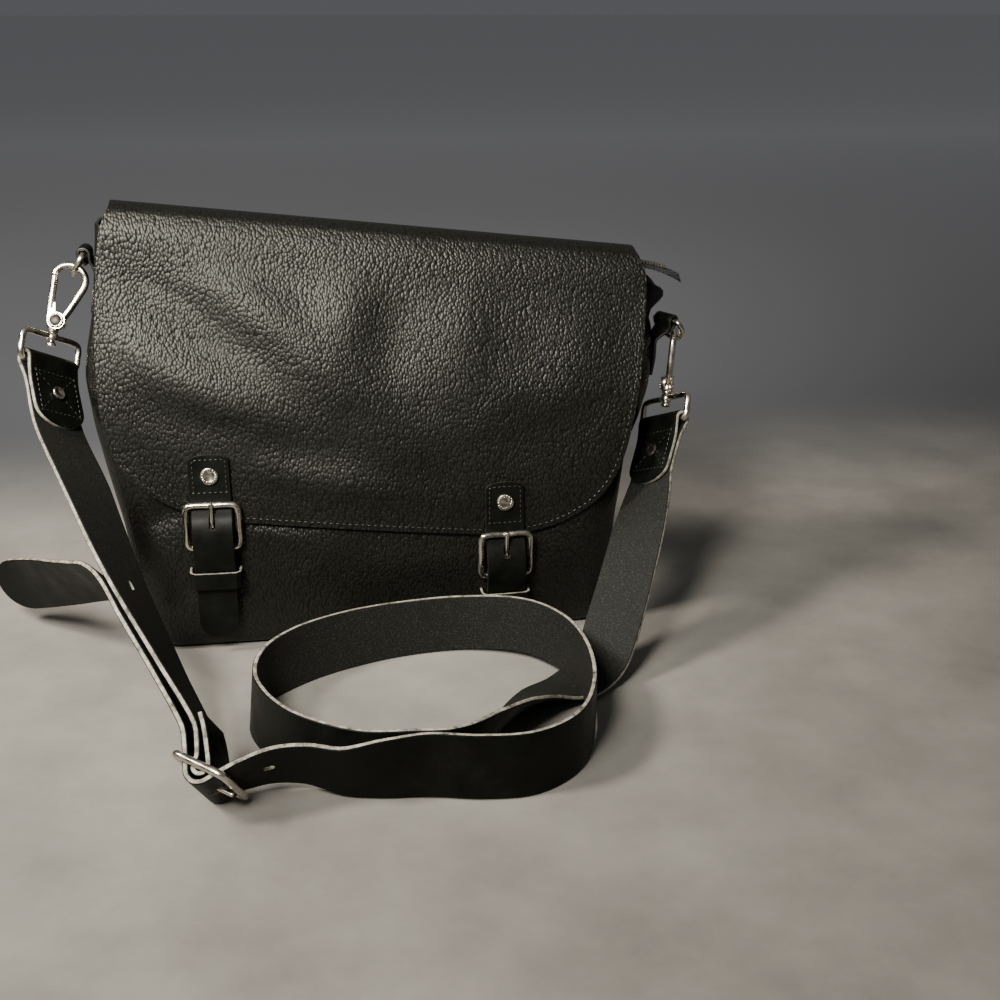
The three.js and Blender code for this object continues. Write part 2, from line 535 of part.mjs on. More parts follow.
for (const f of FASTENINGS) {
  const { thick, width, bar } = FRONT_STRAP;
  const heel = f.bar - 29; // height of the heel bar
  const place = (x, z, out) => new THREE.Vector3(x, frontAt(x, z) - out, z);
  const sidewise = (z) => [1, (frontAt(f.x + 10, z) - frontAt(f.x - 10, z)) / 20, 0];
  const along = vector(sidewise(f.bar - 14)).normalize();
  const inBuckle = (z) => z <= f.bar && z >= heel - 15;
  const row = (z, out, x = f.x) => ({ at: place(x, z, out).toArray(),
    up: inBuckle(z) ? along.toArray() : sidewise(z) });
  const onFlap = FLAP.clear + WALL + GAP + thick / 2;

  // Strap from the flap, behind the buckle's top bar, over its heel bar and through the keeper
  const strapRows = [row(f.bar + f.above, onFlap), row(f.bar + f.above - 10, onFlap),
    row(f.bar + 12, onFlap + 0.1), row(f.bar + 3, onFlap + 0.4), row(f.bar - 3, onFlap + 1.2),
    row(f.bar - 9, 11.2), row(f.bar - 15, 13.5),
    row(f.bar - 21, 14.3), row(heel + 3, 14.1), row(heel - 3, 12.8), row(heel - 7, 11), row(heel - 11, 9.6),
    row(heel - 20, 8.7), row(heel - 30, 8),
    row(f.bar - f.below + 8, 6.6), row(f.bar - f.below, 6.2)];
  const strap = strip(strapRows, width, thick, [4, 12], 2.4, 9).geometry;
  const slot = new THREE.BoxGeometry(4.2, 12, 9).translate(f.x, place(f.x, f.bar - 10.5, 12).y, f.bar - 10.5);
  add('flap_strap_' + f.name, cut(strap, slot), materials.smooth);

  // Rivet through the upper end of the strap
  const rivetZ = f.bar + f.above - 13;
  const rivetAt = place(f.x, rivetZ, onFlap + thick / 2 + GAP);
  const slope = place(f.x, rivetZ + 4, onFlap).sub(place(f.x, rivetZ - 4, onFlap)).normalize();
  const outward = slope.clone().cross(new THREE.Vector3(1, 0, 0)).negate();
  if (outward.y > 0) outward.negate();
  add('flap_rivet_' + f.name, aim(dome(5.6, 2.2), rivetAt, outward), materials.metal);

  // Buckle frame: heel bar behind the strap, top bar in front of it
  const topOut = onFlap + 0.8 + thick / 2 + GAP + bar;
  const topBar = place(f.x, f.bar, topOut);
  const heelBar = place(f.x, heel, 6.4);
  const rise = topBar.clone().sub(heelBar);
  const up = rise.clone().normalize();
  const middle = topBar.clone().add(heelBar).multiplyScalar(0.5);
  add('buckle_' + f.name,
    ring(rectanglePoints(width + 2 * bar + 2.6, rise.length(), 3.6, middle, along, up), bar), materials.metal);

  // Tongue: an eye round the heel bar, through the strap's hole, resting on the top bar
  const outDir = up.clone().cross(along).normalize();
  if (outDir.y > 0) outDir.negate();
  const eye = bar + GAP + 1.4;
  const around = (angle, r) => heelBar.clone().addScaledVector(outDir, r * Math.cos(angle))
    .addScaledVector(up, r * Math.sin(angle));
  const tongue = [around(-3.6, eye), around(-2.7, eye), around(-1.8, eye), around(-0.9, eye), around(0, eye),
    around(0.55, eye), topBar.clone().addScaledVector(up, -16).addScaledVector(outDir, bar + 0.2),
    topBar.clone().addScaledVector(up, -9).addScaledVector(outDir, bar + 1.3),
    topBar.clone().addScaledVector(up, 3.4).addScaledVector(outDir, bar + 1.9)];
  add('buckle_prong_' + f.name, rod(tongue, 1.4, 15, 3), materials.metal);

  // Tab on the front panel, folded round the heel bar, slotted for the tongue
  const hold = bar + 3 * GAP + thick / 2;
  const tabOut = 2 * GAP + thick / 2;
  const tabRow = (z, out) => row(z, out, f.x + 0.5);
  const bend = (angle) => ({ at: around(angle, hold).addScaledVector(along, 0.5).toArray(),
    up: along.toArray() });
  const panelRows = steps(f.bar - f.below + 13, heel - 14, Math.ceil((heel - 23) / 9))
    .map((z) => tabRow(z, tabOut));
  const tabRows = [...panelRows, tabRow(heel - 7, tabOut + 0.5), bend(3.35), bend(2.9), bend(2.4), bend(2),
    bend(1.57), bend(1.1), bend(0.6), bend(0.2), bend(-0.2), tabRow(heel - 9, 6.4),
    tabRow(heel - 15, tabOut + thick + GAP), tabRow(heel - 21, tabOut + thick + GAP)];
  const tab = strip(tabRows, width - 2, thick, [0, 0], 2.6, 12).geometry;
  const tabSlot = new THREE.BoxGeometry(4.4, 14, 13).translate(f.x, heelBar.y - 2, heel - 0.5);
  add('buckle_tab_' + f.name, cut(tab, tabSlot), materials.smooth);

  // Keeper: a band over the strap and the tab, its ends on the front panel
  const top = f.bar - f.band;
  const bandHalf = width / 2 + 1.9;
  const bandOut = 11.8;
  const bandPoint = (x, out) => [f.x + x, out];
  const band = [bandPoint(-bandHalf, GAP + 0.2), bandPoint(-bandHalf, bandOut - 2.5),
    bandPoint(-bandHalf + 2.5, bandOut), bandPoint(0, bandOut + 0.3), bandPoint(bandHalf - 2.5, bandOut),
    bandPoint(bandHalf, bandOut - 2.5),
    bandPoint(bandHalf, GAP + 0.2)];
  const bandAt = (i, z, lift) => {
    const [x, out] = band[i];
    const push = i > 0 && i < 6 ? lift : 0;
    const side = i < 3 ? -1 : Number(i > 3);
    return place(x + side * lift, z, out + (i > 1 && i < 5 ? push : push * 0.4));
  };
  const bandRows = [top, top - FRONT_STRAP.keeper / 2, top - FRONT_STRAP.keeper];
  const keeper = sheet([0, 1, 2, 3, 4, 5, 6], bandRows, (i, z) => bandAt(i, z, 1.6), (i, z) => bandAt(i, z, 0));
  add('keeper_' + f.name, keeper, materials.smooth);
}

// Shoulder-strap ends: ring tab and D-ring on the gusset, trigger hook, strap loop

const ends = {};
for (const name of ['left', 'right']) {
  const side = name === 'left' ? -1 : 1;
  const end = ENDS[name];
  const bar = vector(end.bar);
  const out = vector(end.out);
  const turn = THREE.MathUtils.degToRad(end.barTurn);
  const depth = new THREE.Vector3(Math.sin(turn), Math.cos(turn), 0);
  const away = new THREE.Vector3(side * Math.cos(turn), -side * Math.sin(turn), 0);
  out.addScaledVector(depth, -out.dot(depth));

  const outDir = out.clone().normalize();

  // D-ring: straight bar along the depth of the bag, the bow reaching out
  const ringPoint = (b, o) => bar.clone().addScaledVector(depth, b).addScaledVector(outDir, o);
  const far = out.length();
  const dPoints = [[-8, 0], [0, 0], [8, 0], [11.4, 0.6], [12.8, 3], [12.4, 7], [9.6, far * 0.72],
    [5.2, far * 0.94], [0, far], [-5.2, far * 0.94], [-9.6, far * 0.72], [-12.4, 7], [-12.8, 3], [-11.4, 0.6]];
  add('d_ring_' + name, ring(dPoints.map(([b, o]) => ringPoint(b, o)), RING_WIRE, 24), materials.metal);

  // Ring tab: a leather strip from the gusset round the bar and back down on itself
  const tabThick = 2;
  const hold = RING_WIRE + 2 * GAP + tabThick / 2;
  const gussetX = (z) => {
    const share = z / rimAt(side * section(0.8, 'half'));
    return gusset(side, 0, share).x;
  };
  const lower = [bar.z - 36, bar.z - 24, bar.z - 12];
  const tabX = (z) => gussetX(z) + side * (GAP + 0.9 + tabThick / 2);
  const tabPlace = (x, z) => ({ at: [x, bar.y, z], up: [0, 1, 0] });
  const tabTurn = (angle, low = 0) => ({ up: depth.toArray(), at: bar.clone()
    .addScaledVector(away, -hold * Math.cos(angle)).setZ(bar.z + hold * Math.sin(angle) - low).toArray() });
  const turns = [0, 0.4, 0.8, 1.2, 1.57, 1.95, 2.35, 2.75, Math.PI];
  const firstLow = tabPlace(tabX(lower[2]), lower[2]);
  const firstHigh = tabTurn(0, 4);
  const slant = vector(firstHigh.at).sub(vector(firstLow.at));
  const over = away.clone().addScaledVector(slant, -away.dot(slant) / slant.lengthSq()).normalize();
  const secondLayer = (share, off) => ({ at: vector(firstLow.at).addScaledVector(slant, share)
    .addScaledVector(over, off).toArray(), up: new THREE.Vector3(0, 1, 0).lerp(depth, share).toArray() });
  const tabRoute = [tabPlace(tabX(lower[0]), lower[0]), tabPlace(tabX(lower[1]), lower[1]), firstLow, firstHigh,
    ...turns.map((angle) => tabTurn(angle)), secondLayer(1, tabThick + GAP + 1.2),
    secondLayer(0.78, tabThick + GAP + 0.6)];
  add('ring_tab_' + name, strip(tabRoute, 16, tabThick, [0, 0], 1.8, 8).geometry, materials.smooth);

  // Hook frame: x from the gate to the fixed limb, y up the long axis; the ring's far wire lies in the bend
  const axis = vector(end.axis).normalize();
  const inward = new THREE.Vector3(-side, 0, 0);
  inward.addScaledVector(axis, -inward.dot(axis)).normalize();
  inward.applyAxisAngle(axis, THREE.MathUtils.degToRad(end.spin * side));
  const face = inward.clone().cross(axis);
  const seat = { x: 7.4, y: 45.2 };
  const origin = bar.clone().add(out).addScaledVector(inward, -seat.x).addScaledVector(axis, -seat.y);
  const hook = new THREE.Group();
  hook.applyMatrix4(new THREE.Matrix4().makeBasis(inward, axis, face).setPosition(origin));
  bag.add(hook);
  const flat = (x, y) => new THREE.Vector3(x, y, 0);

  // Hook body: stem with its end bead, barrel, housing with a slot and pin for the gate, fixed limb and nose
  const pivot = { x: -1, y: 14 };
  const limb = rod([flat(4.2, 15), flat(7.5, 21), flat(12.2, 31), flat(15, 38), flat(14.6, 44), flat(10.5, 49),
    flat(5, 50.4), flat(0, 49), flat(-3, 45.6), flat(-3.4, 43.2)], HOOK_WIRE, 18, 3);
  const stem = new THREE.CylinderGeometry(1.9, 1.9, 10, 10).translate(0, 3.2, 0);
  const bead = new THREE.CylinderGeometry(3, 2.4, 2.8, 10).translate(0, -0.4, 0);
  const barrel = new THREE.CylinderGeometry(4, 3.4, 4.6, 10).translate(0, 9.5, 0);
  const housing = new THREE.CylinderGeometry(5.4, 5.4, 7.4, 14).rotateX(Math.PI / 2).translate(1.6, 14, 0);
  const knob = new THREE.CylinderGeometry(3.9, 4.5, 1.6, 14).rotateX(Math.PI / 2).translate(1.6, 14, 4.2);
  const gateSlot = new THREE.BoxGeometry(14, 15.2, 3.6).translate(-4.6, 18.1, 0);
  const pin = new THREE.CylinderGeometry(1.1, 1.1, 7, 10).rotateX(Math.PI / 2).translate(pivot.x, pivot.y, 0);
  const base = cut(join(housing, barrel), gateSlot);
  add('hook_' + name, join(base, limb, stem, bead, knob, pin), materials.metal, hook);

  // Gate: an eye on the pin and a straight bar up to the nose
  const eye = new THREE.CylinderGeometry(2.9, 2.9, 2.9, 14).rotateX(Math.PI / 2).translate(pivot.x, pivot.y, 0);
  const bore = new THREE.CylinderGeometry(1.45, 1.45, 8, 12).rotateX(Math.PI / 2).translate(pivot.x, pivot.y, 0);
  const leaf = new THREE.BoxGeometry(3.6, 12, 2.9).translate(-2.6, 20, 0);
  const gateBar = rod([flat(-3.4, 22.5), flat(-3.4, 42.2)], HOOK_WIRE, 1, 4);
  add('hook_gate_' + name, cut(join(eye, leaf, gateBar), bore), materials.metal, hook);

  // Strap loop: a rectangle of wire turning on the stem
  const across = vector(end.across);
  across.addScaledVector(axis, -across.dot(axis)).normalize();
  const loopTop = origin.clone().addScaledVector(axis, 4);
  const loopHigh = 17;
  const loopMiddle = loopTop.clone().addScaledVector(axis, -loopHigh / 2);
  const loopWide = STRAP.width + 2 * LOOP_WIRE + 2;
  const wire = ring(rectanglePoints(loopWide, loopHigh, 4, loopMiddle, across, axis), LOOP_WIRE);
  const boss = new THREE.CylinderGeometry(3.6, 3.6, 4.4, 10);
  const hole = new THREE.CylinderGeometry(2.3, 2.3, 12, 10);
  const onStem = new THREE.Matrix4().makeBasis(inward, axis, face).setPosition(loopTop);
  boss.applyMatrix4(onStem);
  hole.applyMatrix4(onStem);
  add('strap_loop_' + name, cut(join(wire, boss), hole), materials.metal);

  // Frame of the folded strap end round the loop's lower bar
  const hang = vector(end.hang);
  hang.addScaledVector(across, -hang.dot(across)).normalize();
  const toCamera = hang.clone().cross(across).normalize();
  if (toCamera.y > 0) toCamera.negate();
  ends[name] = { low: loopTop.clone().addScaledVector(axis, -loopHigh), across, hang, fleshSide: toCamera };
}

// Rows of a strap folded round a bar: from its rounded tip on the flesh side, round the bar, down as the strap.
function foldRows(end, tip, run) {
  const hold = LOOP_WIRE + 3 * GAP + STRAP.thick / 2;
  const layer = (STRAP.thick + GAP) / 2 + 0.1;
  const spot = (down, off) => end.low.clone().addScaledVector(end.hang, down)
    .addScaledVector(end.fleshSide, off);
  const fold = (down, off) => ({ at: spot(down, off).toArray(), up: end.across.toArray() });
  const turn = (angle) => fold(-hold * Math.sin(angle), hold * Math.cos(angle));
  const turns = [-0.2, 0.2, 0.6, 1, 1.3, 1.57, 1.84, 2.14, 2.54, 2.94, 3.34].map((angle) => turn(angle));
  const rows = [fold(tip, layer), fold(tip * 0.75, layer), fold(tip * 0.5, layer), fold(15, layer), fold(8, 2.7),
    ...turns, fold(8, -2.7), fold(15, -layer)];
  for (const down of run) rows.push(fold(down, -layer));
  return rows;
}

// Shoulder-strap buckle: a frame with a middle bar, leaning on the floor

const along = vector(STRAP_BUCKLE.along).normalize();
const upright = vector(STRAP_BUCKLE.up);
upright.addScaledVector(along, -upright.dot(along)).normalize();
const outer = along.clone().cross(upright);
const buckleMiddle = vector(STRAP_BUCKLE.middle);
const onBuckle = (l, n, u = 0) => buckleMiddle.clone().addScaledVector(along, l).addScaledVector(outer, n)
  .addScaledVector(upright, u);
const halfWide = STRAP_BUCKLE.width / 2;
const framePoints = rectanglePoints(STRAP_BUCKLE.length, STRAP_BUCKLE.width, 3.6, buckleMiddle, along, upright);
const frameRing = ring(framePoints, BUCKLE_WIRE);
const middleBar = rod([onBuckle(0, 0, -halfWide), onBuckle(0, 0, halfWide)], BUCKLE_WIRE - 0.1, 1, 4);
add('strap_buckle', join(frameRing, middleBar), materials.metal);

// Tongue: an eye round the middle bar, through the long strap, resting on the right end bar
const tongueEye = BUCKLE_WIRE + GAP + 1.3;
const eyePoint = (angle) => onBuckle(tongueEye * Math.cos(angle), tongueEye * Math.sin(angle));
const tongueRoute = [eyePoint(4.6), eyePoint(3.8), eyePoint(3), eyePoint(2.2), eyePoint(1.5), onBuckle(4, 3.7),
  onBuckle(9, 3.9), onBuckle(17, 3.9)];
add('strap_prong', rod(tongueRoute, 1.3, 15, 3), materials.metal);

// Short strap: folded round the left loop, down to the floor, folded round the buckle's middle bar

const upRow = upright.clone().negate().toArray();
const buckleRow = (l, n) => ({ at: onBuckle(l, n).toArray(), up: upRow });
const barHold = BUCKLE_WIRE + GAP + STRAP.thick / 2;
const shortEnd = foldRows(ends.left, 45, [40]);
const shortRun = [
  { at: [-175, -92, 133], up: [0.62, 0.66, -0.42] },
  { at: [-153, -136, 94], up: [0.52, 0.6, -0.6] },
  { at: [-127.5, -181, 57.5], up: [0.36, 0.62, -0.7] },
];
const shortFold = [buckleRow(-13.8, -17), buckleRow(-7.7, -9), buckleRow(-4.3, -3), buckleRow(-barHold, 0.4),
  buckleRow(-2.6, 2.9), buckleRow(0, barHold), buckleRow(2.8, 2.7), buckleRow(barHold, 0), buckleRow(3.2, -2.6),
  buckleRow(-2, -9.6), buckleRow(-9, -18.2), buckleRow(-15, -24.2)];
const shortStrap = strip([...shortEnd, ...shortRun, ...shortFold], STRAP.width, STRAP.thick, [STRAP.tip, 0]);
const prongSlot = new THREE.BoxGeometry(14, 5, 16);
prongSlot.applyMatrix4(new THREE.Matrix4().makeBasis(along, upright, outer).setPosition(onBuckle(1.5, 1.5)));
add('strap_short', cut(shortStrap.geometry, prongSlot), materials.smooth);

// Long strap: folded round the right loop, down to the floor, one turn, through the buckle, free tail

const longEnd = foldRows(ends.right, 46, [40]);
const throughBuckle = [buckleRow(13.8, -6.6), buckleRow(11.5, -3.3), buckleRow(9.2, 0), buckleRow(6.9, 3.6),
  buckleRow(4.4, 6.8), buckleRow(0, 8.4), buckleRow(-4.4, 6.8), buckleRow(-6.9, 3.6), buckleRow(-9.2, 0),
  buckleRow(-11.5, -3.3), buckleRow(-13.8, -6.6), buckleRow(-18.5, -12.6)];
const longStrap = strip([...longEnd, ...FLOOR_ROUTE, ...throughBuckle, ...TAIL_ROUTE], STRAP.width, STRAP.thick,
  [STRAP.tip, STRAP.tip + 3]);
const tongueHole = new THREE.BoxGeometry(8, 5, 12);
tongueHole.applyMatrix4(new THREE.Matrix4().makeBasis(along, upright, outer).setPosition(onBuckle(7.2, 4)));
add('strap_long', cut(longStrap.geometry, tongueHole), materials.smooth);

// Rivets in the folded ends of the shoulder strap
for (const name of ['left', 'right']) {
  const end = ends[name];
  const face = (STRAP.thick + GAP) / 2 + 0.1 + STRAP.thick / 2 + GAP;
  const seat = end.low.clone().addScaledVector(end.hang, 22).addScaledVector(end.fleshSide, face);
  add('strap_rivet_' + name, aim(dome(4.6, 1.8, 12), seat, end.fleshSide), materials.metal);
}

export default bag;
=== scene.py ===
import functools
import math

import bpy
import numpy as np
from mathutils import Matrix, Quaternion, Vector, noise


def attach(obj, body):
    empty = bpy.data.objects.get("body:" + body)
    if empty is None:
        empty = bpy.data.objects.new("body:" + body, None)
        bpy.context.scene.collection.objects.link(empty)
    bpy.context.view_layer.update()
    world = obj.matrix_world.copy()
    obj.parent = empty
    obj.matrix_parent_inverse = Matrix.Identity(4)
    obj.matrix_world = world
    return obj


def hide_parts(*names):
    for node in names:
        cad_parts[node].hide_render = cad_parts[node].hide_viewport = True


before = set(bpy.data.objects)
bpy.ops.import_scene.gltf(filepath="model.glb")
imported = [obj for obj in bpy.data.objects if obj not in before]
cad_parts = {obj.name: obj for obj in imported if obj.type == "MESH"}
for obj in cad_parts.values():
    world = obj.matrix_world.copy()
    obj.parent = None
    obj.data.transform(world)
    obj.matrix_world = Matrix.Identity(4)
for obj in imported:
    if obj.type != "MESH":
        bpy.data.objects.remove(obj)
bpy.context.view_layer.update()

# Body walls: front panel, back panel and two gussets of black pebble-grained cowhide, about 2 mm thick.
# They are cut from one hide, sewn together at the corners, and have sagged towards the right with use.

WALL = 2.0
RIM = 252.0
SLUMP = 0.11
# share of the height, half width, front, back, bow of the panel, corner radius, shift to the right
BODY_SECTIONS = [
    (0.0, 141, -37, 37, 0, 15, 0),
    (0.004, 146, -41, 40.5, 0.6, 17, 0),
    (0.014, 151, -45, 44, 1.2, 19, 0),
    (0.04, 155, -47.5, 46, 2, 20, 0),
    (0.1, 156.5, -48.5, 47, 3, 22, -0.5),
    (0.3, 161, -48, 47, 4, 24, -2),
    (0.5, 171.5, -45, 45, 4, 27, -2.5),
    (0.66, 182.5, -39, 42, 3, 29, -1.5),
    (0.8, 176, -29, 37, 2, 22, 0),
    (0.92, 170.5, -19, 31, 1.5, 14, 0),
    (1.0, 166, -13, 28, 1, 11, 0),
]
# share of the height, push of the gusset's middle outwards
LEFT_FOLDS = [(0, 0), (0.5, 0), (0.6, -5), (0.68, -7), (0.76, -6), (0.88, -6.5), (0.94, -4), (1, 0)]
RIGHT_FOLDS = [(0, 0), (0.35, 0), (0.5, -4), (0.6, -2), (0.68, 3), (0.76, 9), (0.83, 13), (0.88, 15),
               (0.92, 25), (0.96, 20), (1, 7)]
# soft dents and swellings of the front below the flap: x, z, half length, half width, turn, depth
FRONT_DENTS = [
    (-60, 62, 46, 16, -24, 2.2),
    (-70, 92, 40, 9, -8, -2.4),
    (-136, 66, 26, 14, 40, 1.6),
    (-140, 92, 24, 8, 20, -2.0),
    (-132, 36, 30, 9, 30, -1.6),
    (20, 58, 60, 15, -12, 1.2),
    (30, 84, 55, 8, -4, -1.4),
    (128, 70, 26, 18, 60, 1.4),
]
# the two front fastenings across the bag, and how far from them the front takes up its dents
FASTENING_X = (-106, 79.5)
SMOOTH_BY_TAB = 26
# the back bows less than the front
BACK_BOW = 0.4
# how far the outer faces of the panels and gussets reach towards their corner seams
PANEL_REACH = 0.9989
GUSSET_REACH = 0.9956
# colours of the hide: its black, its pebble tops a little lighter with wear, and painted shade in the creases
# between pebbles
HIDE_BLACK = "#0A0B08"
HIDE_RIDGE = "#0E0F0C"
HIDE_CREASE_SHADE = "#050504"
GRAIN_MM = 2.1


def between(rows, column, value):
    """A value between the rows of a table, along a smooth curve."""
    last = len(rows) - 1
    at = min(max(value, rows[0][0]), rows[last][0])
    i = 0
    while i < last - 1 and at > rows[i + 1][0]:
        i += 1

    def slope(a, b):
        return (rows[b][column] - rows[a][column]) / (rows[b][0] - rows[a][0])

    here = slope(i, i + 1)

    def limit(m):
        if here == 0 or m / here < 0:
            return 0.0
        return math.copysign(min(abs(m), 2 * abs(here)), here)

    before = limit(slope(i - 1, i + 1)) if i > 0 else here
    after = limit(slope(i, i + 2)) if i < last - 1 else here
    span = rows[i + 1][0] - rows[i][0]
    t = (at - rows[i][0]) / span
    a = rows[i][column]
    b = rows[i + 1][column]
    curve = a * (1 + 2 * t) * (1 - t) ** 2 + b * t * t * (3 - 2 * t)
    return curve + span * (before * t * (1 - t) ** 2 - after * t * t * (1 - t))


@functools.lru_cache(maxsize=None)
def body_at(share):
    """Half width, front, back, bow, radius and shift of the body at a share of its height."""
    return tuple(between(BODY_SECTIONS, column, share) for column in range(1, 7))


def rim_at(x):
    return RIM - SLUMP * x


def front_at(x, z):
    """Depth of the front panel's outer face at a place seen from the front."""
    half, front, back, bow, radius, shift = body_at(round(z / rim_at(x), 4))
    off = abs(x - shift) / (half - radius)
    return front - bow * math.cos(math.pi / 2 * min(off, 1)) ** 2


def panel_point(facing, s, share):
    half, front, back, bow, radius, shift = body_at(share)
    flat = half - radius
    q = s * (flat + radius * math.pi / 4)
    over = max(abs(q) - flat, 0) / radius
    x = shift + math.copysign(min(abs(q), flat) + radius * math.sin(over), q)
    arch = bow * math.cos(math.pi / 2 * min(abs(q) / flat, 1)) ** 2
    drop = radius * (1 - math.cos(over))
    y = front - arch + drop if facing == "front" else back + arch * BACK_BOW - drop
    return x, y, share * rim_at(x)


def gusset_point(side, s, share):
    half, front, back, bow, radius, shift = body_at(share)
    flat = (back - front) / 2 - radius
    q = s * (flat + radius * math.pi / 4)
    over = max(abs(q) - flat, 0) / radius
    folds = RIGHT_FOLDS if side > 0 else LEFT_FOLDS
    push = between(folds, 1, share) * max(1 - (s * 1.02) ** 2, 0)
    x = shift + side * (half - radius * (1 - math.cos(over)) + push)
    y = (front + back) / 2 + math.copysign(min(abs(q), flat) + radius * math.sin(over), q)
    return x, y, share * rim_at(side * half)


def dents_at(dents, x, z):
    """Sum of the soft dents of a panel at a place seen from the front, outwards positive."""
    total = 0.0
    for cx, cz, length, width, turn, depth in dents:
        a = math.radians(turn)
        u = ((x - cx) * math.cos(a) + (z - cz) * math.sin(a)) / length
        v = ((z - cz) * math.cos(a) - (x - cx) * math.sin(a)) / width
        total += depth * math.exp(-(u * u + v * v))
    return total


def grid_of(rows, columns, point):
    return np.array([[point(c, r) for c in columns] for r in rows], dtype=float)


def grid_normals(grid, outward):
    """Unit normals of a grid of points, on the side that the given direction points to."""
    normal = np.cross(np.gradient(grid, axis=0), np.gradient(grid, axis=1))
    normal /= np.maximum(np.linalg.norm(normal, axis=2, keepdims=True), 1e-9)
    if np.sum(normal.reshape(-1, 3) @ np.array(outward, dtype=float)) < 0:
        normal = -normal
    return normal


def make_object(name, points, faces, finishes, slots=None, soft=35):
    """A mesh object from points in millimetres, smooth except where faces meet at more than the angle."""
    mesh = bpy.data.meshes.new(name)
    mesh.from_pydata([tuple(float(v) * 0.001 for v in p) for p in points], [], faces)
    for finish in finishes:
        mesh.materials.append(finish)
    if slots is not None:
        mesh.polygons.foreach_set("material_index", slots)
    mesh.polygons.foreach_set("use_smooth", [True] * len(mesh.polygons))
    mesh.validate()
    mesh.update()
    mesh.set_sharp_from_angle(angle=math.radians(soft))
    piece = bpy.data.objects.new(name, mesh)
    bpy.context.scene.collection.objects.link(piece)
    return piece


def leather_sheet(name, outer, inner, finishes):
    """A closed sheet between two grids of points. Slots: grain face, flesh face, cut edge."""
    grid = np.arange(2 * outer[..., 0].size).reshape(2, *outer.shape[:2])

    def quads(g):
        return np.stack([g[:-1, :-1], g[:-1, 1:], g[1:, 1:], g[1:, :-1]], axis=-1).reshape(-1, 4)

    rim = np.concatenate([grid[:, 0, :-1], grid[:, :-1, -1], grid[:, -1, :0:-1], grid[:, ::-1, 0]], axis=1)
    parts = [quads(grid[0]), quads(grid[1])[:, ::-1], quads(rim)[:, ::-1]]
    faces = np.concatenate(parts)
    points = np.concatenate([outer.reshape(-1, 3), inner.reshape(-1, 3)])
    a, b, c, d = (points[faces[:, k]] for k in range(4))
    volume = np.sum(a * (np.cross(b, c) + np.cross(c, d)))
    if volume < 0:
        faces = faces[:, ::-1]
    slots = np.repeat([0, 1, 2], [len(part) for part in parts])
    return make_object(name, points, faces.tolist(), finishes, slots.tolist())


def round_edges(piece, width_mm):
    """Rounds the hard edges of a piece and keeps the result as its plain mesh."""
    bevel = piece.modifiers.new("worn_edge", "BEVEL")
    bevel.width = width_mm * 0.001
    bevel.segments = 2
    bevel.limit_method = "ANGLE"
    bevel.angle_limit = math.radians(45)
    keep_result(piece)


def keep_result(piece):
    """Turns a piece with its modifiers into a plain mesh."""
    seen = piece.evaluated_get(bpy.context.evaluated_depsgraph_get())
    mesh = bpy.data.meshes.new_from_object(seen)
    old = piece.data
    piece.modifiers.clear()
    piece.data = mesh
    mesh.name = piece.name
    bpy.data.meshes.remove(old)


def tone(code):
    """An sRGB hex colour as linear RGBA."""
    parts = [int(code[i:i + 2], 16) / 255 for i in (1, 3, 5)]
    return (*[v / 12.92 if v <= 0.04045 else ((v + 0.055) / 1.055) ** 2.4 for v in parts], 1.0)


def feed(tree, node, feeds):
    """Sets inputs of a node; each feed is a plain value or the socket that drives the input."""
    for key, value in feeds.items():
        socket = node.inputs[key]
        if isinstance(value, bpy.types.NodeSocket):
            tree.links.new(value, socket)
        else:
            socket.default_value = value


def put(tree, kind, settings=None, feeds=None):
    """Adds a node with its settings and feeds its inputs."""
    node = tree.nodes.new(kind)
    for key, value in (settings or {}).items():
        setattr(node, key, value)
    feed(tree, node, feeds or {})
    return node


def new_finish(name):
    """An empty node material, its tree, its object coordinates and its shader."""
    finish = bpy.data.materials.new(name)
    finish.use_nodes = True
    tree = finish.node_tree
    tree.nodes.clear()
    shader = put(tree, "ShaderNodeBsdfPrincipled")
    put(tree, "ShaderNodeOutputMaterial", None, {"Surface": shader.outputs["BSDF"]})
    place = put(tree, "ShaderNodeTexCoord").outputs["Object"]
    return finish, tree, place, shader


def set_ramp(ramp, stops):
    """Sets a colour ramp's stops: position and hex colour."""
    while len(ramp.color_ramp.elements) < len(stops):
        ramp.color_ramp.elements.new(0.5)
    for element, (position, code) in zip(ramp.color_ramp.elements, stops):
        element.position = position
        element.color = tone(code)


# Milled full-grain cowhide, drum-dyed black: tumbling swells the pebbles and closes the creases between
# them, so each pebble catches a small soft light. The creases are painted darker as shade, and the pebble
# tops a little lighter as wear. Pebbles are about 2 mm, longer one way than the other, and pores too fine
# to show are drawn about 0.5 mm apart.
pebbled_hide, tree, place, shader = new_finish("milled_cowhide")
drift = put(tree, "ShaderNodeTexNoise", None, {"Vector": place, "Scale": 1000 / 60, "Detail": 2.0})
swerve = put(tree, "ShaderNodeVectorMath", {"operation": "MULTIPLY_ADD"}, {
    0: drift.outputs["Color"], 1: (0.012, 0.012, 0.012), 2: place})
ripple = put(tree, "ShaderNodeTexNoise", None, {"Vector": place, "Scale": 1000 / 4, "Detail": 2.0})
waver = put(tree, "ShaderNodeVectorMath", {"operation": "MULTIPLY_ADD"}, {
    0: ripple.outputs["Color"], 1: (0.001, 0.001, 0.001), 2: swerve.outputs["Vector"]})
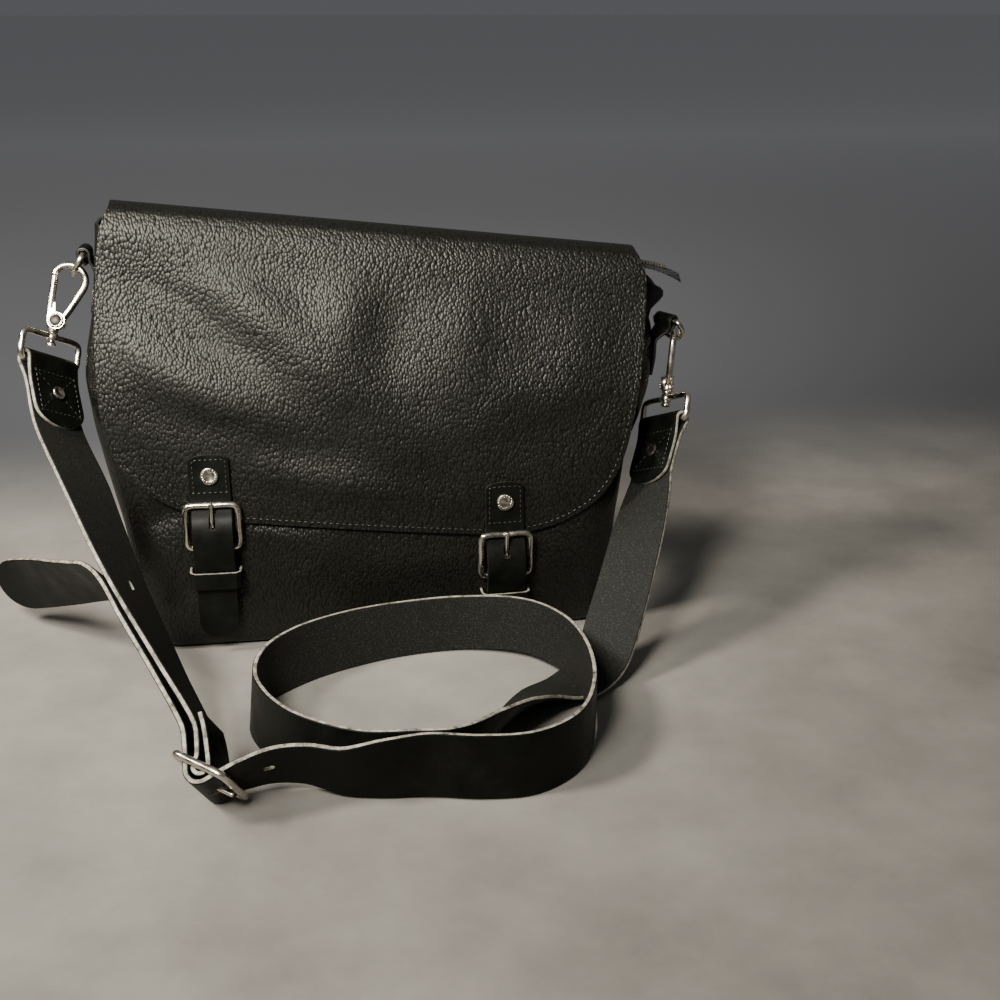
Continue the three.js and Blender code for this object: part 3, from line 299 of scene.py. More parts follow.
# turn in degrees and squeeze of the pebbles on the upper and on the lower part of the bag
GRAINS = [(14, (1.25, 1.1, 0.8)), (58, (1.22, 1.1, 0.8))]
heights = []
for turn, squeeze in GRAINS:
    grain = put(tree, "ShaderNodeMapping", None, {
        "Vector": waver.outputs["Vector"], "Rotation": (0, math.radians(turn), 0), "Scale": squeeze})
    cells = put(tree, "ShaderNodeTexVoronoi", {"feature": "F1"}, {
        "Vector": grain.outputs["Vector"], "Scale": 1000 / GRAIN_MM, "Randomness": 0.9})
    square = put(tree, "ShaderNodeMath", {"operation": "MULTIPLY"}, {
        0: cells.outputs["Distance"], 1: cells.outputs["Distance"]})
    dome = put(tree, "ShaderNodeMath", {"operation": "MULTIPLY_ADD"}, {
        0: square.outputs["Value"], 1: -2.0, 2: 1.0})
    heights.append(dome.outputs["Value"])
level = put(tree, "ShaderNodeSeparateXYZ", None, {"Vector": place})
border = put(tree, "ShaderNodeMath", {"operation": "MULTIPLY_ADD"}, {
    0: drift.outputs[0], 1: 0.12, 2: level.outputs["Z"]})
lower_part = put(tree, "ShaderNodeMapRange", {"interpolation_type": "SMOOTHSTEP"}, {
    "Value": border.outputs["Value"], "From Min": 0.19, "From Max": 0.21, "To Min": 1.0, "To Max": 0.0})
pebbles = put(tree, "ShaderNodeMix", {"data_type": "FLOAT"}, {
    0: lower_part.outputs["Result"], 2: heights[0], 3: heights[1]})
pores = put(tree, "ShaderNodeTexNoise", None, {"Vector": place, "Scale": 1000 / 0.5, "Detail": 3.0})
skin = put(tree, "ShaderNodeMath", {"operation": "MULTIPLY_ADD"}, {
    0: pores.outputs[0], 1: 0.08, 2: pebbles.outputs[0]})
relief = put(tree, "ShaderNodeBump", None, {
    "Height": skin.outputs["Value"], "Strength": 1.0, "Distance": 0.00022})
# painted shade: the colour is darkest in the creases between pebbles, and a little lighter on the worn pebble
# tops
wear_and_crease_shade = put(tree, "ShaderNodeValToRGB", None, {"Fac": pebbles.outputs[0]})
set_ramp(wear_and_crease_shade, [(0.25, HIDE_CREASE_SHADE), (0.55, HIDE_BLACK), (1.0, HIDE_RIDGE)])
matt = put(tree, "ShaderNodeMapRange", None, {
    "Value": drift.outputs[0], "From Min": 0.3, "From Max": 0.7, "To Min": 0.39, "To Max": 0.47})
feed(tree, shader, {"Base Color": wear_and_crease_shade.outputs["Color"], "Roughness": matt.outputs["Result"],
                    "Normal": relief.outputs["Normal"], "Specular IOR Level": 0.3,
                    "Specular Tint": tone("#FFFDF4")})


def mottled(name, size_mm, detail, stops, roughness, coarse=0.5, bump=None, **rest):
    """A finish from one noise: the size of its cells, the colours it runs through and its bump, if any."""
    finish, tree, place, shader = new_finish(name)
    cloud = put(tree, "ShaderNodeTexNoise", None, {
        "Vector": place, "Scale": 1000 / size_mm, "Detail": detail, "Roughness": coarse})
    colours = put(tree, "ShaderNodeValToRGB", None, {"Fac": cloud.outputs[0]})
    set_ramp(colours, stops)
    feed(tree, shader, {"Base Color": colours.outputs["Color"], "Roughness": roughness, **rest})
    if bump:
        strength, distance = bump
        rough = put(tree, "ShaderNodeBump", None, {
            "Height": cloud.outputs[0], "Strength": strength, "Distance": distance})
        feed(tree, shader, {"Normal": rough.outputs["Normal"]})
    return finish


# The flesh side of the hide: split and shaved, with short fibres that scatter the light, dyed near black.
flesh_side = mottled("suede_flesh_side", 0.9, 4.0, [(0.36, "#090A08"), (0.56, "#131411"), (0.76, "#45443D")],
                     0.7, 0.7, (0.6, 0.0004), **{"Specular IOR Level": 0.2})

# Cut edges of the body leather, dyed black and burnished by hand, so they are smooth and a little glossy.
black_edge = mottled("burnished_black_edge", 3, 3.0, [(0.3, "#0D0D0B"), (0.7, "#24231E")], 0.4)


def fit(piece, body, node=None):
    """Says which body a piece rides on and which CAD node it stands for."""
    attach(piece, body)
    if node:
        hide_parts(node)


def sew_wall(node, outer, out):
    """A wall of the body from its outer face: the inner face is a thickness away and ends on the base."""
    inner = outer - out * WALL
    inner[0, :, 2] = WALL
    inner[0, :, :2] = outer[0, :, :2]
    wall = leather_sheet(node + "_hide", outer, inner, [pebbled_hide, flesh_side, black_edge])
    fit(wall, "bag", node)


shares = [0, 0.004, 0.009, 0.014, 0.026] + [0.04 + 0.96 * i / 90 for i in range(91)]
across = [-1 + 2 * i / 130 for i in range(131)]
for facing in ("front", "back"):
    outward = (0, -1 if facing == "front" else 1, 0)
    outer = grid_of(shares, [s * PANEL_REACH for s in across], lambda s, h: panel_point(facing, s, h))
    out = grid_normals(outer, outward)
    if facing == "front":
        # the dents fade out towards the seams, the base and the fastenings, and stand 1 mm proud at most
        for r, share in enumerate(shares):
            for c, s in enumerate(across):
                x, y, z = outer[r, c]
                fade = min(max((1 - abs(s)) * 8, 0), 1) * min(share * 12, 1)
                away = noise.noise(Vector((x, y, z)) * 0.028) * 1.1 - 0.6
                lift = (dents_at(FRONT_DENTS, x, z) + away) * fade
                near_tab = min(min(abs(x - tab_x) for tab_x in FASTENING_X) / SMOOTH_BY_TAB, 1)
                outer[r, c] += out[r, c] * min(lift, 1.0) * near_tab
    sew_wall(facing + "_panel", outer, out)

# soft creases of the gussets: share of the height, place from the front seam to the back, length, width
# and depth
GUSSET_CREASES = {
    -1: [(0.62, -0.1, 0.5, 0.035, -2.2), (0.74, 0.15, 0.45, 0.03, -2.0), (0.84, -0.2, 0.5, 0.03, 1.6),
         (0.5, 0.1, 0.6, 0.04, -1.6), (0.3, 0.0, 0.6, 0.05, -1.2)],
    1: [(0.66, 0.1, 0.6, 0.03, -2.6), (0.745, -0.2, 0.6, 0.022, -3.0), (0.8, 0.2, 0.5, 0.02, 2.4),
        (0.86, -0.1, 0.6, 0.018, -3.0), (0.9, 0.1, 0.6, 0.02, 2.2), (0.95, -0.2, 0.5, 0.018, -2.4),
        (0.52, -0.1, 0.7, 0.04, -2.2), (0.4, 0.2, 0.6, 0.05, 1.4)],
}
for side, name in ((-1, "gusset_left"), (1, "gusset_right")):
    outer = grid_of(shares, [s * GUSSET_REACH for s in across[::2]], lambda s, h: gusset_point(side, s, h))
    out = grid_normals(outer, (side, 0, 0))
    for r, share in enumerate(shares):
        for c, s in enumerate(across[::2]):
            lift = 0.0
            for at, middle, length, width, depth in GUSSET_CREASES[side]:
                bend = at + 0.02 * math.sin(4 * s + at * 30)
                lift += depth * math.exp(-((share - bend) / width) ** 2 - ((s - middle) / length) ** 2)
            fade = min((1 - abs(s)) * 4, 1) * min(share * 12, 1) * min((1 - share) * 20, 1)
            outer[r, c] += out[r, c] * min(lift * fade, 0.9)
    sew_wall(name, outer, out)

# Base: a flat piece of the same hide, sewn in between the four walls, on which the bag stands.
# It keeps the shape that it has in the CAD.
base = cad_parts["base_panel"]
base.data.materials.clear()
base.data.materials.append(pebbled_hide)

# Zip: a woven tape sewn along the mouth with the closed metal chain in its middle.
# Its loose end sticks out past the right gusset and curls down a little.

ZIP_Y = 7.5
TAPE_HALF = 16.5
# past the right gusset the tape is a narrower tail, which first droops and then tapers: half width, three x
TAIL_HALF = 12
TAIL_FROM = 171
DROOP_FROM = 176
TAPER_FROM = 196


def zip_half(x):
    return TAIL_HALF - max(x - TAPER_FROM, 0) * 0.6 if x > TAIL_FROM else TAPE_HALF


def zip_point(c, x, lift):
    droop = max(x - DROOP_FROM, 0) ** 2 * 0.0048
    return x, ZIP_Y + c * zip_half(x), rim_at(x) + lift - droop * (1 - 0.9 * min(c, 0))


# Polyester zip tape: a dense slanting weave, its 0.5 mm ribs drawn about 2.4 mm apart so that they show.
# A wave texture's bands are pi / 10 apart at scale 1.
RIB_MM = 2.3675
zip_weave, tree, place, shader = new_finish("woven_polyester_tape")
slanted = put(tree, "ShaderNodeMapping", None, {"Vector": place, "Rotation": (0, 0, math.radians(45))})
ribs = put(tree, "ShaderNodeTexWave", {"wave_type": "BANDS", "bands_direction": "X"}, {
    "Vector": slanted.outputs["Vector"], "Scale": 1000 / RIB_MM * math.pi / 10, "Distortion": 0.6})
threads = put(tree, "ShaderNodeValToRGB", None, {"Fac": ribs.outputs[0]})
set_ramp(threads, [(0.2, "#0C0C0D"), (0.8, "#26262A")])
weave = put(tree, "ShaderNodeBump", None, {"Height": ribs.outputs[0], "Strength": 0.5, "Distance": 0.0003})
feed(tree, shader, {"Base Color": threads.outputs["Color"], "Normal": weave.outputs["Normal"],
                    "Roughness": 0.85})

lengthwise = [-160 + 330.9 * i / 60 for i in range(61)] + [171.1 + 35.9 * i / 24 for i in range(25)]
crosswise = [-1 + 2 * i / 10 for i in range(11)]
tape = leather_sheet("zip_tape_weave", grid_of(lengthwise, crosswise, lambda c, x: zip_point(c, x, 2)),
                     grid_of(lengthwise, crosswise, lambda c, x: zip_point(c, x, 1)),
                     [zip_weave, zip_weave, zip_weave])
fit(tape, "bag", "zip_tape")

# Nickel-plated zinc and steel, polished and then handled: a warm white metal with soft smudges and fine rub
# marks. Smudges are about 6 mm across, rub marks about 0.4 mm apart.
nickel, tree, place, shader = new_finish("polished_nickel_plate")
smudge = put(tree, "ShaderNodeTexNoise", None, {"Vector": place, "Scale": 1000 / 6, "Detail": 3.0})
rubbed = put(tree, "ShaderNodeTexNoise", None, {"Vector": place, "Scale": 1000 / 0.4, "Detail": 2.0})
cloud = put(tree, "ShaderNodeMapRange", None, {
    "Value": smudge.outputs[0], "From Min": 0.35, "From Max": 0.7, "To Min": 0.16, "To Max": 0.36})
plate = put(tree, "ShaderNodeValToRGB", None, {"Fac": smudge.outputs[0]})
set_ramp(plate, [(0.3, "#BFB6A8"), (0.7, "#DAD3C8")])
marks = put(tree, "ShaderNodeBump", None, {"Height": rubbed.outputs[0], "Strength": 0.08, "Distance": 0.0002})
feed(tree, shader, {"Base Color": plate.outputs["Color"], "Roughness": cloud.outputs["Result"],
                    "Normal": marks.outputs["Normal"], "Metallic": 1.0})


def repeat_tree(name, shape):
    """Geometry Nodes: sets a small shape along lines, its X along the line and its Z outwards."""
    tree = bpy.data.node_groups.new(name, "GeometryNodeTree")
    sockets = (("Lines", "Geometry"), ("Pitch", "Float"), ("Size", "Vector"), ("Finish", "Material"))
    for label, kind in sockets:
        tree.interface.new_socket(label, in_out="INPUT", socket_type="NodeSocket" + kind)
    tree.interface.new_socket("Pieces", in_out="OUTPUT", socket_type="NodeSocketGeometry")
    given = put(tree, "NodeGroupInput")
    curve = put(tree, "GeometryNodeMeshToCurve", None, {"Mesh": given.outputs["Lines"]})
    spaced = put(tree, "GeometryNodeResampleCurve", {"mode": "LENGTH"}, {
        "Curve": curve.outputs["Curve"], "Length": given.outputs["Pitch"]})
    out = put(tree, "GeometryNodeInputNamedAttribute", {"data_type": "FLOAT_VECTOR"}, {"Name": "out"})
    tangent = put(tree, "GeometryNodeInputTangent")
    stand = put(tree, "FunctionNodeAlignRotationToVector", {"axis": "Z"}, {
        "Vector": out.outputs["Attribute"]})
    turn = put(tree, "FunctionNodeAlignRotationToVector", {"axis": "X", "pivot_axis": "Z"}, {
        "Rotation": stand.outputs["Rotation"], "Vector": tangent.outputs["Tangent"]})
    if shape == "bead":
        form = put(tree, "GeometryNodeMeshUVSphere", None, {"Segments": 8, "Rings": 5, "Radius": 1.0})
    else:
        form = put(tree, "GeometryNodeMeshCube", None, {"Size": (2.0, 2.0, 2.0)})
    placed = put(tree, "GeometryNodeInstanceOnPoints", None, {
        "Points": spaced.outputs["Curve"], "Instance": form.outputs["Mesh"],
        "Rotation": turn.outputs["Rotation"], "Scale": given.outputs["Size"]})
    real = put(tree, "GeometryNodeRealizeInstances", None, {"Geometry": placed.outputs["Instances"]})
    smooth = put(tree, "GeometryNodeSetShadeSmooth", None, {
        "Geometry": real.outputs["Geometry"], "Shade Smooth": shape == "bead"})
    dressed = put(tree, "GeometryNodeSetMaterial", None, {
        "Geometry": smooth.outputs["Geometry"], "Material": given.outputs["Finish"]})
    put(tree, "NodeGroupOutput", None, {"Pieces": dressed.outputs["Geometry"]})
    return tree


def repeat_along(name, tree, lines, pitch, size, finish):
    """Runs a repeat tree on lines of (place, way out) and keeps the result as a plain mesh. Sizes in mm."""
    rows = [row for line in lines for row in line]
    edges = []
    start = 0
    for line in lines:
        edges += [(start + i, start + i + 1) for i in range(len(line) - 1)]
        start += len(line)
    mesh = bpy.data.meshes.new(name)
    mesh.from_pydata([tuple(float(v) * 0.001 for v in spot) for spot, way in rows], edges, [])
    out = mesh.attributes.new("out", "FLOAT_VECTOR", "POINT")
    out.data.foreach_set("vector", [float(v) for spot, way in rows for v in way])
    piece = bpy.data.objects.new(name, mesh)
    bpy.context.scene.collection.objects.link(piece)
    modifier = piece.modifiers.new("repeat", "NODES")
    modifier.node_group = tree
    values = {"Pitch": pitch * 0.001, "Size": [v * 0.0005 for v in size], "Finish": finish}
    for item in tree.interface.items_tree:
        if item.in_out == "INPUT" and item.name in values:
            modifier[item.identifier] = values[item.name]
    keep_result(piece)
    return piece


zip_teeth = repeat_tree("zip_teeth", "tooth")
chain_lines = []
for row, shift in ((-1, 0.0), (1, 1.0)):
    along = [-158 + shift + 357 * i / 120 for i in range(121)]
    spots = [(x, ZIP_Y + 0.8 + row * 1.2, zip_point(0, x, 3.3)[2]) for x in along if x < 199]
    chain_lines.append([(spot, (0, 0, 1)) for spot in spots])
chain = repeat_along("zip_chain_teeth", zip_teeth, chain_lines, 2.0, (1.2, 3.0, 2.0), nickel)
fit(chain, "bag", "zip_chain")

# Flap: one large piece of the same hide, sewn to the back, laid over the mouth and down the front.
# Its lower corners are rounded and its edge is cut, dyed and stitched 3 mm in with black waxed thread.

FLAP_CENTRE = 8.2
FLAP_LEAN = 0.11
FLAP_CLEAR = 1.6
FLAP_DROP = 171
FLAP_FOOT = 84
SEAM_INSET = 3.2
# depth, height above the mouth, from the back seam to the front
FLAP_TOP = [(38.6, -48), (36, -32), (32.4, -12), (31, 0), (25.5, 7.8), (12, 12), (-2, 12.8),
            (-11.5, 9.4), (-16.8, 3.2), (-18.2, -4)]
# height above the mouth, half width
FLAP_SIDES = [(-FLAP_DROP, FLAP_FOOT), (-169.6, 98), (-166, 113), (-161, 126), (-155, 136.5), (-148, 145.5),
              (-140, 152.5), (-130, 158.5), (-116, 163.3), (-97, 166.8), (-60, 170.3), (-8, 171), (0, 170),
              (6, 168), (11, 164.5)]
# lowest and highest part of the flap that lies flat under each front strap
FLAT_UNDER_STRAPS = ((80, 136), (50, 110))
# soft waves of the flap: x, height above the mouth, half length, half width, turn, depth
FLAP_WAVES = [
    (-66, -44, 70, 18, -38, 4.2),
    (-118, -48, 50, 15, -30, -2.0),
    (-112, -88, 60, 17, -28, 3.2),
    (-16, -36, 30, 20, 70, 3.4),
    (12, -50, 36, 16, 80, -1.2),
    (60, -30, 40, 18, 76, 1.8),
    (-60, -118, 80, 14, -10, -1.4),
    (-40, -140, 70, 10, -6, 1.2),
    (118, -66, 60, 20, 60, 1.2),
    (90, -110, 70, 20, 30, -1.0),
]


def spline_point(points, t, closed=False):
    """A point on a centripetal Catmull-Rom curve through points, t from 0 to 1."""
    count = len(points)
    whole = (count if closed else count - 1) * t
    i = int(math.floor(whole))
    w = whole - i
    if not closed and i >= count - 1:
        i = count - 2
        w = 1.0
    if closed:
        p0, p1, p2, p3 = (points[(i + k) % count] for k in (-1, 0, 1, 2))
    else:
        p1 = points[i]
        p2 = points[i + 1]
        p0 = points[i - 1] if i > 0 else points[0] * 2 - points[1]
        p3 = points[i + 2] if i + 2 < count else points[-1] * 2 - points[-2]
    d1 = max((p2 - p1).length ** 0.5, 1e-4)
    d0 = (p1 - p0).length ** 0.5 or d1
    d2 = (p3 - p2).length ** 0.5 or d1
    m1 = ((p1 - p0) / d0 - (p2 - p0) / (d0 + d1) + (p2 - p1) / d1) * d1
    m2 = ((p2 - p1) / d1 - (p3 - p1) / (d1 + d2) + (p3 - p2) / d2) * d1
    return p1 + m1 * w + (p1 * -3 + p2 * 3 - m1 * 2 - m2) * w ** 2 + (p1 * 2 - p2 * 2 + m1 + m2) * w ** 3


def flap_half(rise):
    return between(FLAP_SIDES, 1, rise)


def flap_front(side, rise):
    """Middle of the flap's sheet on the front, at a distance from its centre line and a height."""
    x = FLAP_CENTRE + side + FLAP_LEAN * rise
    z = rim_at(FLAP_CENTRE + side) + rise
    y = front_at(x, z) - FLAP_CLEAR - WALL / 2
    start = between([(-26, 0), (-3, 1)], 1, rise)
    at_fold = FLAP_TOP[-1][0] + (front_at(x, z) - front_at(x, rim_at(x) * 0.988)) * 0.9
    y = y * (1 - start) + at_fold * start
    calm = min(max((-4 - rise) / 26, 0), 1) * min((FLAP_DROP + rise) / 22, 1)
    calm *= min(max((flap_half(rise) - abs(side)) / 26, 0), 1)
    for strap_x, (low, high) in zip(FASTENING_X, FLAT_UNDER_STRAPS):
        past = max(abs(x - strap_x) - 14, low - z, z - high, 0)
        calm *= min(past / 22, 1)
    wave = dents_at(FLAP_WAVES, x, rise) + 0.9 * noise.noise(Vector((x * 0.02, 3.1, z * 0.02)))
    return x, y - max(wave, -1.2) * calm, z


def flap_over(side, t):
    """Middle of the flap's sheet from the back seam over the mouth, t from 0 to 1."""
    p = spline_point([Vector((0, y, rise)) for y, rise in FLAP_TOP], t)
    half = flap_half(11) if p.y > 14 else flap_half(p.z)
    lean = FLAP_LEAN * min(p.z, 0) if p.y < 10 else 0
    x = side * half
    return FLAP_CENTRE + x + lean, p.y, rim_at(FLAP_CENTRE + x) + p.z


over_rows = [i / 40 for i in range(41)]
down_rows = [-5 - 163 * i / 110 for i in range(111)] + [-169.2, -170.2, -FLAP_DROP]
flap_columns = [-1 + 2 * i / 150 for i in range(151)]
middle = np.concatenate([
    grid_of(over_rows, flap_columns, flap_over),
    grid_of(down_rows, flap_columns, lambda s, rise: flap_front(s * flap_half(rise), rise))])
# the bend from the top to the front is eased row by row
for turn in range(40):
    middle[32:56] = (middle[31:55] + 2 * middle[32:56] + middle[33:57]) / 4
out = grid_normals(middle, (0, -1, 0))
flap = leather_sheet("flap_hide", middle + out * WALL / 2, middle - out * WALL / 2,
                     [pebbled_hide, flesh_side, black_edge])
round_edges(flap, 0.6)
fit(flap, "bag", "flap")

# Waxed polyester thread, black, drawn tight into its holes, on the flap in 3 mm stitches on a 4 mm pitch.
waxed_thread = mottled("waxed_black_thread", 0.8, 2.0, [(0.3, "#0E0E0D"), (0.7, "#24231F")], 0.4)
# from the leather's face to the middle of the thread
STITCH_LIFT = 0.1


def frontward(way):
    """A direction, turned round where it points to the back."""
    return -way if way.y > 0 else way


def flap_stitch(side, rise):
    """A place on the flap's outer face and the way out of it."""
    a = Vector(flap_front(side + 0.5, rise)) - Vector(flap_front(side - 0.5, rise))
    b = Vector(flap_front(side, rise + 0.5)) - Vector(flap_front(side, rise - 0.5))
    up = frontward(a.cross(b).normalized())
    return Vector(flap_front(side, rise)) + up * (WALL / 2 + STITCH_LIFT), up


# down the left edge, round the corner, along the foot and up the right edge
edge_rises = [-6 - 3.0 * i for i in range(45)]
edge_rises += [-142, -145, -148, -151, -154, -157, -160, -162, -164, -166, -168, -169.6]
left_edge = [(-flap_half(rise), rise) for rise in edge_rises]
outline = left_edge + [(-FLAP_FOOT + 2 * FLAP_FOOT * i / 40, -FLAP_DROP) for i in range(41)]
outline += [(-x, rise) for x, rise in reversed(left_edge)]
seam = []
for i, (x, rise) in enumerate(outline):
    before_x, before_rise = outline[max(i - 1, 0)]
    after_x, after_rise = outline[min(i + 1, len(outline) - 1)]
    run_x = after_x - before_x
    run_rise = after_rise - before_rise
    inset = SEAM_INSET / math.hypot(run_x, run_rise)
    seam.append(flap_stitch(x - run_rise * inset, rise + run_x * inset))
bead_tree = repeat_tree("beads", "bead")
flap_stitches = repeat_along("flap_stitches", bead_tree, [seam], 4.0, (3.0, 0.8, 0.7), waxed_thread)
fit(flap_stitches, "bag")

# Front fastenings: two straps of smooth black strap leather, each riveted and sewn to the flap and run
# through a nickel buckle without a roller and a leather keeper with raw pale edges. The tab that holds the
# buckle is sewn to the front panel behind it.

FRONT_STRAP = 25.5
FRONT_THICK = 2.4
FRONT_BAR = 2.0
GAP = 0.3
# from the buckle's top bar to its heel bar
BUCKLE_SPAN = 29
PRONG_WIRE = 1.4
TAB_SHIFT = 0.5
KEEPER_HIGH = 11
KEEPER_THICK = 1.6
# name, x, height of the buckle's top bar, strap end above it, strap tip and keeper below it
FASTENINGS = [("left", FASTENING_X[0], 103, 31, 91, 44), ("right", FASTENING_X[1], 73, 34, 68, 40)]

# Vegetable-tanned strap leather, dyed black and waxed: smooth, with a dull shine and faint scuffs. Hair
# pores are drawn 0.7 mm apart so that they show.
strap_grain, tree, place, shader = new_finish("waxed_strap_leather")
scuff = put(tree, "ShaderNodeTexNoise", None, {
    "Vector": place, "Scale": 1000 / 14, "Detail": 4.0, "Roughness": 0.62})
hair = put(tree, "ShaderNodeTexNoise", None, {"Vector": place, "Scale": 1000 / 0.7, "Detail": 3.0})
stain = put(tree, "ShaderNodeValToRGB", None, {"Fac": scuff.outputs[0]})
set_ramp(stain, [(0.3, "#050604"), (0.6, "#0A0B09"), (0.8, "#151612")])
shine = put(tree, "ShaderNodeMapRange", None, {
    "Value": scuff.outputs[0], "From Min": 0.3, "From Max": 0.7, "To Min": 0.36, "To Max": 0.54})
pore = put(tree, "ShaderNodeBump", None, {"Height": hair.outputs[0], "Strength": 0.18, "Distance": 0.0003})
feed(tree, shader, {"Base Color": stain.outputs["Color"], "Roughness": shine.outputs["Result"],
                    "Normal": pore.outputs["Normal"], "Specular IOR Level": 0.1})

# Raw cut edge of the same leather: the dye has not gone through, so the tan core shows between dark rims.
raw_edge = mottled("raw_tan_edge", 5, 5.0, [(0.34, "#35322C"), (0.46, "#726D62"), (0.64, "#A09B90")],
                   0.75, 0.72, (0.5, 0.0004))


def ring_faces(rows, sides):
    """Faces of a closed form from rows of points, each row once round it, with a cap at both ends."""
    faces = []
    for r in range(rows - 1):
        for k in range(sides):
            n = (k + 1) % sides
            faces.append((r * sides + k, r * sides + n, (r + 1) * sides + n, (r + 1) * sides + k))
    return faces + [tuple(range(sides - 1, -1, -1)), tuple((rows - 1) * sides + k for k in range(sides))]


class Strap:
    """A leather strip along a route of (place, way up across it): where its middle line and faces are."""

    # mm either side of a place that give the way along it, most turn from row to row in radians, and the
    # shortest rows in bends and at rounded tips in mm
    REACH = 0.4
    MOST_TURN = 0.16
    LEAST_ROW = 0.6
    LEAST_TIP_ROW = 0.12

    def __init__(self, route, width, thick, tips=(0, 0)):
        self.width = width
        self.thick = thick
        self.tips = tips
        places = [Vector(at) for at, up in route]
        ups = [Vector(up).normalized() for at, up in route]
        fine = 60 * len(route)
        self.line = []
        self.up = []
        self.run = []
        length = 0.0
        for i in range(fine + 1):
            p = spline_point(places, i / fine)
            if i:
                length += (p - self.line[-1]).length
            whole = i / fine * (len(route) - 1)
            k = min(int(whole), len(route) - 2)
            self.line.append(p)
            self.up.append(ups[k].lerp(ups[k + 1], whole - k))
            self.run.append(length)
        self.length = length

    def place(self, s):
        i = min(max(int(np.searchsorted(self.run, s)), 1), len(self.run) - 1)
        span = self.run[i] - self.run[i - 1]
        t = min(max((s - self.run[i - 1]) / span if span > 0 else 0, 0), 1)
        return self.line[i - 1].lerp(self.line[i], t), self.up[i - 1].lerp(self.up[i], t)

    def frame(self, s):
        """Middle, way along, across and out of the first face at a length from the start."""
        p, up = self.place(s)
        ahead = self.place(min(s + self.REACH, self.length))[0]
        behind = self.place(max(s - self.REACH, 0))[0]
        way = (ahead - behind).normalized()
        over = (up - way * up.dot(way)).normalized()
        return p, way, over, way.cross(over)

    def half_at(self, s):
        """Half width, rounded off towards the tips."""
        half = self.width / 2
        for tip, far in ((self.tips[0], s), (self.tips[1], self.length - s)):
            if tip and far < tip:
                half = min(half, self.width / 2 * max(math.sqrt(max(1 - (1 - far / tip) ** 2, 0)), 0.04))
        return half

    def stations(self, coarse):
        """Lengths at which the strip is cut into rows, closer in bends and towards rounded tips."""
        marks = [0.0]
        while marks[-1] < self.length:
            s = marks[-1]
            step = coarse
            while step > self.LEAST_ROW:
                a = self.frame(s)[1]
                b = self.frame(min(s + step, self.length))[1]
                if a.angle(b, 0) < self.MOST_TURN:
                    break
                step *= 0.8
            for tip, far, share in ((self.tips[0], s, 0.25), (self.tips[1], self.length - s, 0.2)):
                if tip and far < tip:
                    step = min(step, max(far * share, self.LEAST_TIP_ROW))
            marks.append(s + step)
        marks[-1] = self.length
        return marks

    def mesh(self, name, grain_side, edge, coarse):
        """The strip as a closed mesh with rounded edges; its grain is on side 1 or -1, or on both for 0."""
        first = flesh_side if grain_side < 0 else strap_grain
        second = flesh_side if grain_side > 0 else strap_grain
        soft = 0.55
        half_thick = self.thick / 2
        # share of the half width, shift across, share of the half thickness
        profile = [(-1, soft, 1), (-0.5, 0, 1), (0, 0, 1), (0.5, 0, 1), (1, -soft, 1),
                   (1, -0.12, 0.66), (1, 0, 0.3), (1, 0, -0.3), (1, -0.12, -0.66)]
        profile += [(-c, -shift, -side) for c, shift, side in profile]
        kinds = [0] * 5 + [2] * 3 + [1] * 6 + [2] * 3 + [0]
        marks = self.stations(coarse)
        points = []
        for s in marks:
            p, way, over, out = self.frame(s)
            half = self.half_at(s)
            for c, shift, side in profile:
                points.append(p + over * (c * half + shift * min(half / 3, 1)) + out * (side * half_thick))
        faces = ring_faces(len(marks), len(profile))
        slots = kinds * (len(marks) - 1) + [2, 2]
        a, b, c = (points[i] for i in faces[0][:3])
        middle_of_start = self.frame(0)[0]
        if (b - a).cross(c - a).dot(a - middle_of_start) < 0:
            faces = [f[::-1] for f in faces]
        return make_object(name, points, faces, [first, second, edge], slots, soft=50)

    def on_face(self, s, across, side):
        """A spot on a face and the way out of it: length along, distance across, side 1 or -1."""
        p, way, over, out = self.frame(s)
        return p + over * across + out * (side * (self.thick / 2 + STITCH_LIFT)), out * side


def cut_hole(piece, middle, axis, radius, depth, way, reach):
    """Punches a long hole with round ends through a piece: reach is half of its straight sides, along way."""
    z = Vector(axis).normalized()
    x = Vector(way).normalized()
    x = (x - z * x.dot(z)).normalized()
    y = z.cross(x)
    ring = []
    for i in range(20):
        a = 2 * math.pi * (i + 0.5) / 20
        ring.append((math.cos(a) * radius + math.copysign(reach, math.cos(a)), math.sin(a) * radius))
    points = [Vector(middle) + x * u + y * v + z * w for w in (-depth, depth) for u, v in ring]
    punch = make_object("punch", points, ring_faces(2, 20), list(piece.data.materials)[-1:])
    cut = piece.modifiers.new("punched", "BOOLEAN")
    cut.operation = "DIFFERENCE"
    cut.solver = "EXACT"
    cut.object = punch
    keep_result(piece)
    piece.data.set_sharp_from_angle(angle=math.radians(35))
    bpy.data.objects.remove(punch)


